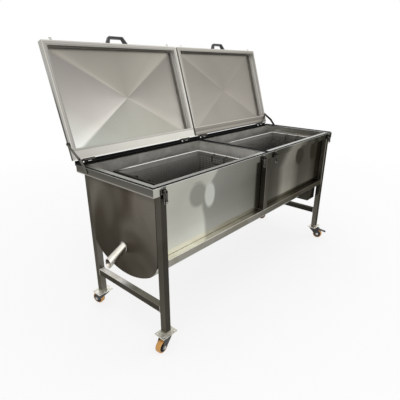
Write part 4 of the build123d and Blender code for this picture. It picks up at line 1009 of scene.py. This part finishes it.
# Weld beads on the frame and round the spouts
FOOT_BEAD = 0.0034
COLLAR_BEAD = 0.0032
SPOUT_RADIUS = 0.025
SPOUT_ANGLE = radians(29)
SPOUT_Z = RIM_Z - 0.42
welds = bmesh.new()
for sign_x, sign_y in CORNERS:
    leg_x, leg_y = sign_x * LEG_X, MID.y + sign_y * RAIL_Y
    x_low, x_high = leg_x - HALF, leg_x + HALF
    y_low, y_high = leg_y - HALF, leg_y + HALF
    for x, y in ((x_low, y_low), (x_high, y_high)):
        weld_run(welds, (x_low, y, FOOT), (x_high, y, FOOT), FOOT_BEAD)
        weld_run(welds, (x, y_low, FOOT), (x, y_high, FOOT), FOOT_BEAD)
    inner_y = leg_y - sign_y * HALF
    for z in (CROSS_RAIL_TOP, CROSS_RAIL_TOP - TUBE):
        weld_run(welds, (x_low, inner_y, z), (x_high, inner_y, z))
    for x in (x_low, x_high):
        weld_run(welds, (x, inner_y, CROSS_RAIL_TOP - TUBE), (x, inner_y, CROSS_RAIL_TOP))
    inner_x, outer_y = leg_x - sign_x * HALF, leg_y + sign_y * HALF
    for z in (LONG_RAIL_TOP, LONG_RAIL_TOP - TUBE):
        weld_run(welds, (inner_x, y_low, z), (inner_x, y_high, z))
    weld_run(welds, (inner_x, outer_y, LONG_RAIL_TOP - TUBE), (inner_x, outer_y, LONG_RAIL_TOP))
for sign_y in SIGNS:
    post_y = MID.y + sign_y * RAIL_Y
    outer_y = post_y + sign_y * HALF
    weld_run(welds, (-HALF, outer_y, LONG_RAIL_TOP), (HALF, outer_y, LONG_RAIL_TOP))
    for x in (-HALF, HALF):
        weld_run(welds, (x, post_y - HALF, LONG_RAIL_TOP), (x, post_y + HALF, LONG_RAIL_TOP))
for sign in SIGNS:
    collar = bmesh.new()
    root = Vector((sign * TROUGH_END, MID.y, SPOUT_Z))
    bmesh.ops.create_circle(collar, segments=10, radius=COLLAR_BEAD,
                            matrix=Matrix.Translation(root + Vector((0, SPOUT_RADIUS, 0))))
    bmesh.ops.spin(collar, geom=collar.edges[:], cent=root, axis=(1, 0, 0), angle=2 * pi, steps=64,
                   use_merge=True)
    bmesh.ops.scale(collar, verts=collar.verts, vec=(1, 1, 1 / cos(SPOUT_ANGLE)),
                    space=Matrix.Translation(-root))
    close_up(collar)
    put_in(welds, collar)
finish_piece("frame_welds", welds, "frame", "stainless_tube", weld_steel, crease=60)


# Rivets on the latch plates, screws on the hinge leaves; each head has a radius and a height
RIVET = (0.0019, 0.0009)
RIVET_X, RIVET_Z = 0.0115, 0.0145
LATCH_DROP = 0.018
SCREW = (0.0034, 0.0016)
SCREWS_X = (-0.024, 0.0, 0.024)
LEAF = 0.003
LEAF_DROP = 0.0065
LID_LEAF = Vector((0, -0.0055, 0.0205))
lid_frame = Matrix.Translation(HINGE * Vector((0, 1, 1))) @ Matrix.Rotation(-LID_OPEN, 4, "X")
fixings = bmesh.new()
for latch_x in LATCHES_X:
    for across, up in CORNERS:
        at = (latch_x + across * RIVET_X, rim_low.y - SHEET, RIM_Z - LATCH_DROP + up * RIVET_Z)
        button_head(fixings, at, (0, -1, 0), *RIVET)
for side, places in HINGES_X.items():
    lid_fixings = bmesh.new()
    for hinge_x in places:
        for across in SCREWS_X:
            at = (hinge_x + across, rim_high.y + LEAF, RIM_Z - LEAF_DROP)
            button_head(fixings, at, (0, 1, 0), *SCREW)
            at = lid_frame @ (LID_LEAF + Vector((hinge_x + across, 0, 0)))
            button_head(lid_fixings, at, lid_frame.to_3x3() @ Vector((0, 1, 0)), *SCREW)
    finish_piece(f"lid_{side}_hinge_screws", lid_fixings, f"lid_{side}", "polished_fitting", fitting_steel)
finish_piece("rim_fixings", fixings, "frame", "polished_fitting", fitting_steel)


# Cover plate with its screws on the front of the terminal box
COVER = 0.0016
COVER_EDGE = 0.003
COVER_ROUND = 0.0005
COVER_SCREW = (0.0036, 0.0018)
SCREW_IN = 0.012
box_low, box_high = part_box("terminal_box")
middle = (box_low + box_high) / 2
size = box_high - box_low
cover = bmesh.new()
cover_size = (size.x - 2 * COVER_EDGE, COVER, size.z - 2 * COVER_EDGE, 1)
cover_place = Matrix.Translation((middle.x, box_low.y - COVER / 2, middle.z))
bmesh.ops.create_cube(cover, size=1, matrix=cover_place @ Matrix.Diagonal(cover_size))
round_off(cover, cover.edges[:], COVER_ROUND, 2)
for across, up in CORNERS:
    at = (middle.x + across * (size.x / 2 - SCREW_IN), box_low.y - COVER,
          middle.z + up * (size.z / 2 - SCREW_IN))
    button_head(cover, at, (0, -1, 0), *COVER_SCREW)
finish_piece("terminal_box_cover", cover, "frame", "stainless_sheet", shaded_box_steel)


# Floor, light and camera
WHITE = (1, 1, 1)
SKY_STRENGTH = 0.7
FLOOR_TONE = (0.86, 0.86, 0.86)
FLOOR_HALF = 30
FLOOR_DROP = 0.001
# How white the floor shows near the melter and far from it, and where near ends and far begins
WHITE_NEAR, WHITE_FAR = 0.78, 1.0
NEAR, FAR = 1.2, 4.5


def shown_white(tree, plain, strength):
    """A pale surface or sky that the eye and mirrors see as white."""
    path = add(tree, "ShaderNodeLightPath", {}).outputs
    mirrored = sums(tree, "MAXIMUM", path["Is Glossy Ray"], path["Is Transmission Ray"])
    seen = sums(tree, "MAXIMUM", path["Is Camera Ray"], mirrored)
    kind = "ShaderNodeBackground" if plain.type == "BACKGROUND" else "ShaderNodeEmission"
    white = add(tree, kind, {"Color": WHITE, "Strength": 1.0})
    inputs = {0: times(tree, seen, strength), 1: plain.outputs[0], 2: white.outputs[0]}
    return add(tree, "ShaderNodeMixShader", inputs).outputs[0]


sky = bpy.data.worlds.new("pale_studio")
sky.use_nodes = True
scene.world = sky
sky_tree = sky.node_tree
sky_light = sky_tree.nodes["Background"]
wire(sky_tree, sky_light, {"Color": WHITE, "Strength": SKY_STRENGTH})
wire(sky_tree, sky_tree.nodes["World Output"], {"Surface": shown_white(sky_tree, sky_light, 1.0)})

floor_finish, floor_tree, floor_shader = new_finish("pale_floor")
wire(floor_tree, floor_shader, {"Base Color": FLOOR_TONE, "Roughness": 0.9, "Specular IOR Level": 0.1})
away = vectors(floor_tree, "LENGTH", place_pattern(floor_tree))["Value"]
whiteness = spread(floor_tree, away, WHITE_NEAR, WHITE_FAR, NEAR, FAR)
wire(floor_tree, floor_tree.nodes["Material Output"],
     {"Surface": shown_white(floor_tree, floor_shader, whiteness)})
floor_plate = bmesh.new()
bmesh.ops.create_grid(floor_plate, x_segments=1, y_segments=1, size=FLOOR_HALF)
floor_mesh = bpy.data.meshes.new("floor")
floor_plate.to_mesh(floor_mesh)
floor_plate.free()
floor = bpy.data.objects.new("floor", floor_mesh)
floor.location.z = -FLOOR_DROP
floor_mesh.materials.append(floor_finish)
scene.collection.objects.link(floor)

AIM = Vector((0, 0, 0.7))


def soft_light(name, at, width, height, power):
    """A lit panel that points at the melter."""
    lamp = bpy.data.lights.new(name, "AREA")
    lamp.shape = "RECTANGLE"
    lamp.size = width
    lamp.size_y = height
    lamp.energy = power
    made = bpy.data.objects.new(name, lamp)
    made.location = at
    made.rotation_euler = (AIM - Vector(at)).to_track_quat("-Z", "Y").to_euler()
    scene.collection.objects.link(made)


soft_light("key_panel", (-2.6, -3.2, 3.4), width=4.4, height=4.4, power=62)
soft_light("fill_panel", (3.2, -2.8, 2.2), width=3.2, height=3.2, power=24)
soft_light("top_panel", (0, 0.4, 4.2), width=4.2, height=3.2, power=40)

# The eye's turn, and its place from the middle of the rim's top
YAW = radians(49.38)
PITCH_DOWN = radians(22.01)
ROLL = radians(-0.49)
EYE_FROM_RIM = Vector((-1.990, -1.4805, 0.5277))
ahead = Vector((sin(YAW) * cos(PITCH_DOWN), cos(YAW) * cos(PITCH_DOWN), -sin(PITCH_DOWN)))
level = Vector((cos(YAW), -sin(YAW), 0))
down = ahead.cross(level)
across = cos(ROLL) * level + sin(ROLL) * down
below = cos(ROLL) * down - sin(ROLL) * level
eye = bpy.data.cameras.new("eye")
eye.lens = 31.905
eye.sensor_width = 36
eye.shift_x = -0.0125
eye.shift_y = 0.01825
eye.clip_end = 100
camera = bpy.data.objects.new("eye", eye)
stand = Matrix((across, -below, -ahead)).transposed().to_4x4()
stand.translation = Vector((0, MID.y, RIM_Z)) + EYE_FROM_RIM
camera.matrix_world = stand
scene.collection.objects.link(camera)
scene.camera = camera
scene.view_settings.view_transform = "Standard"
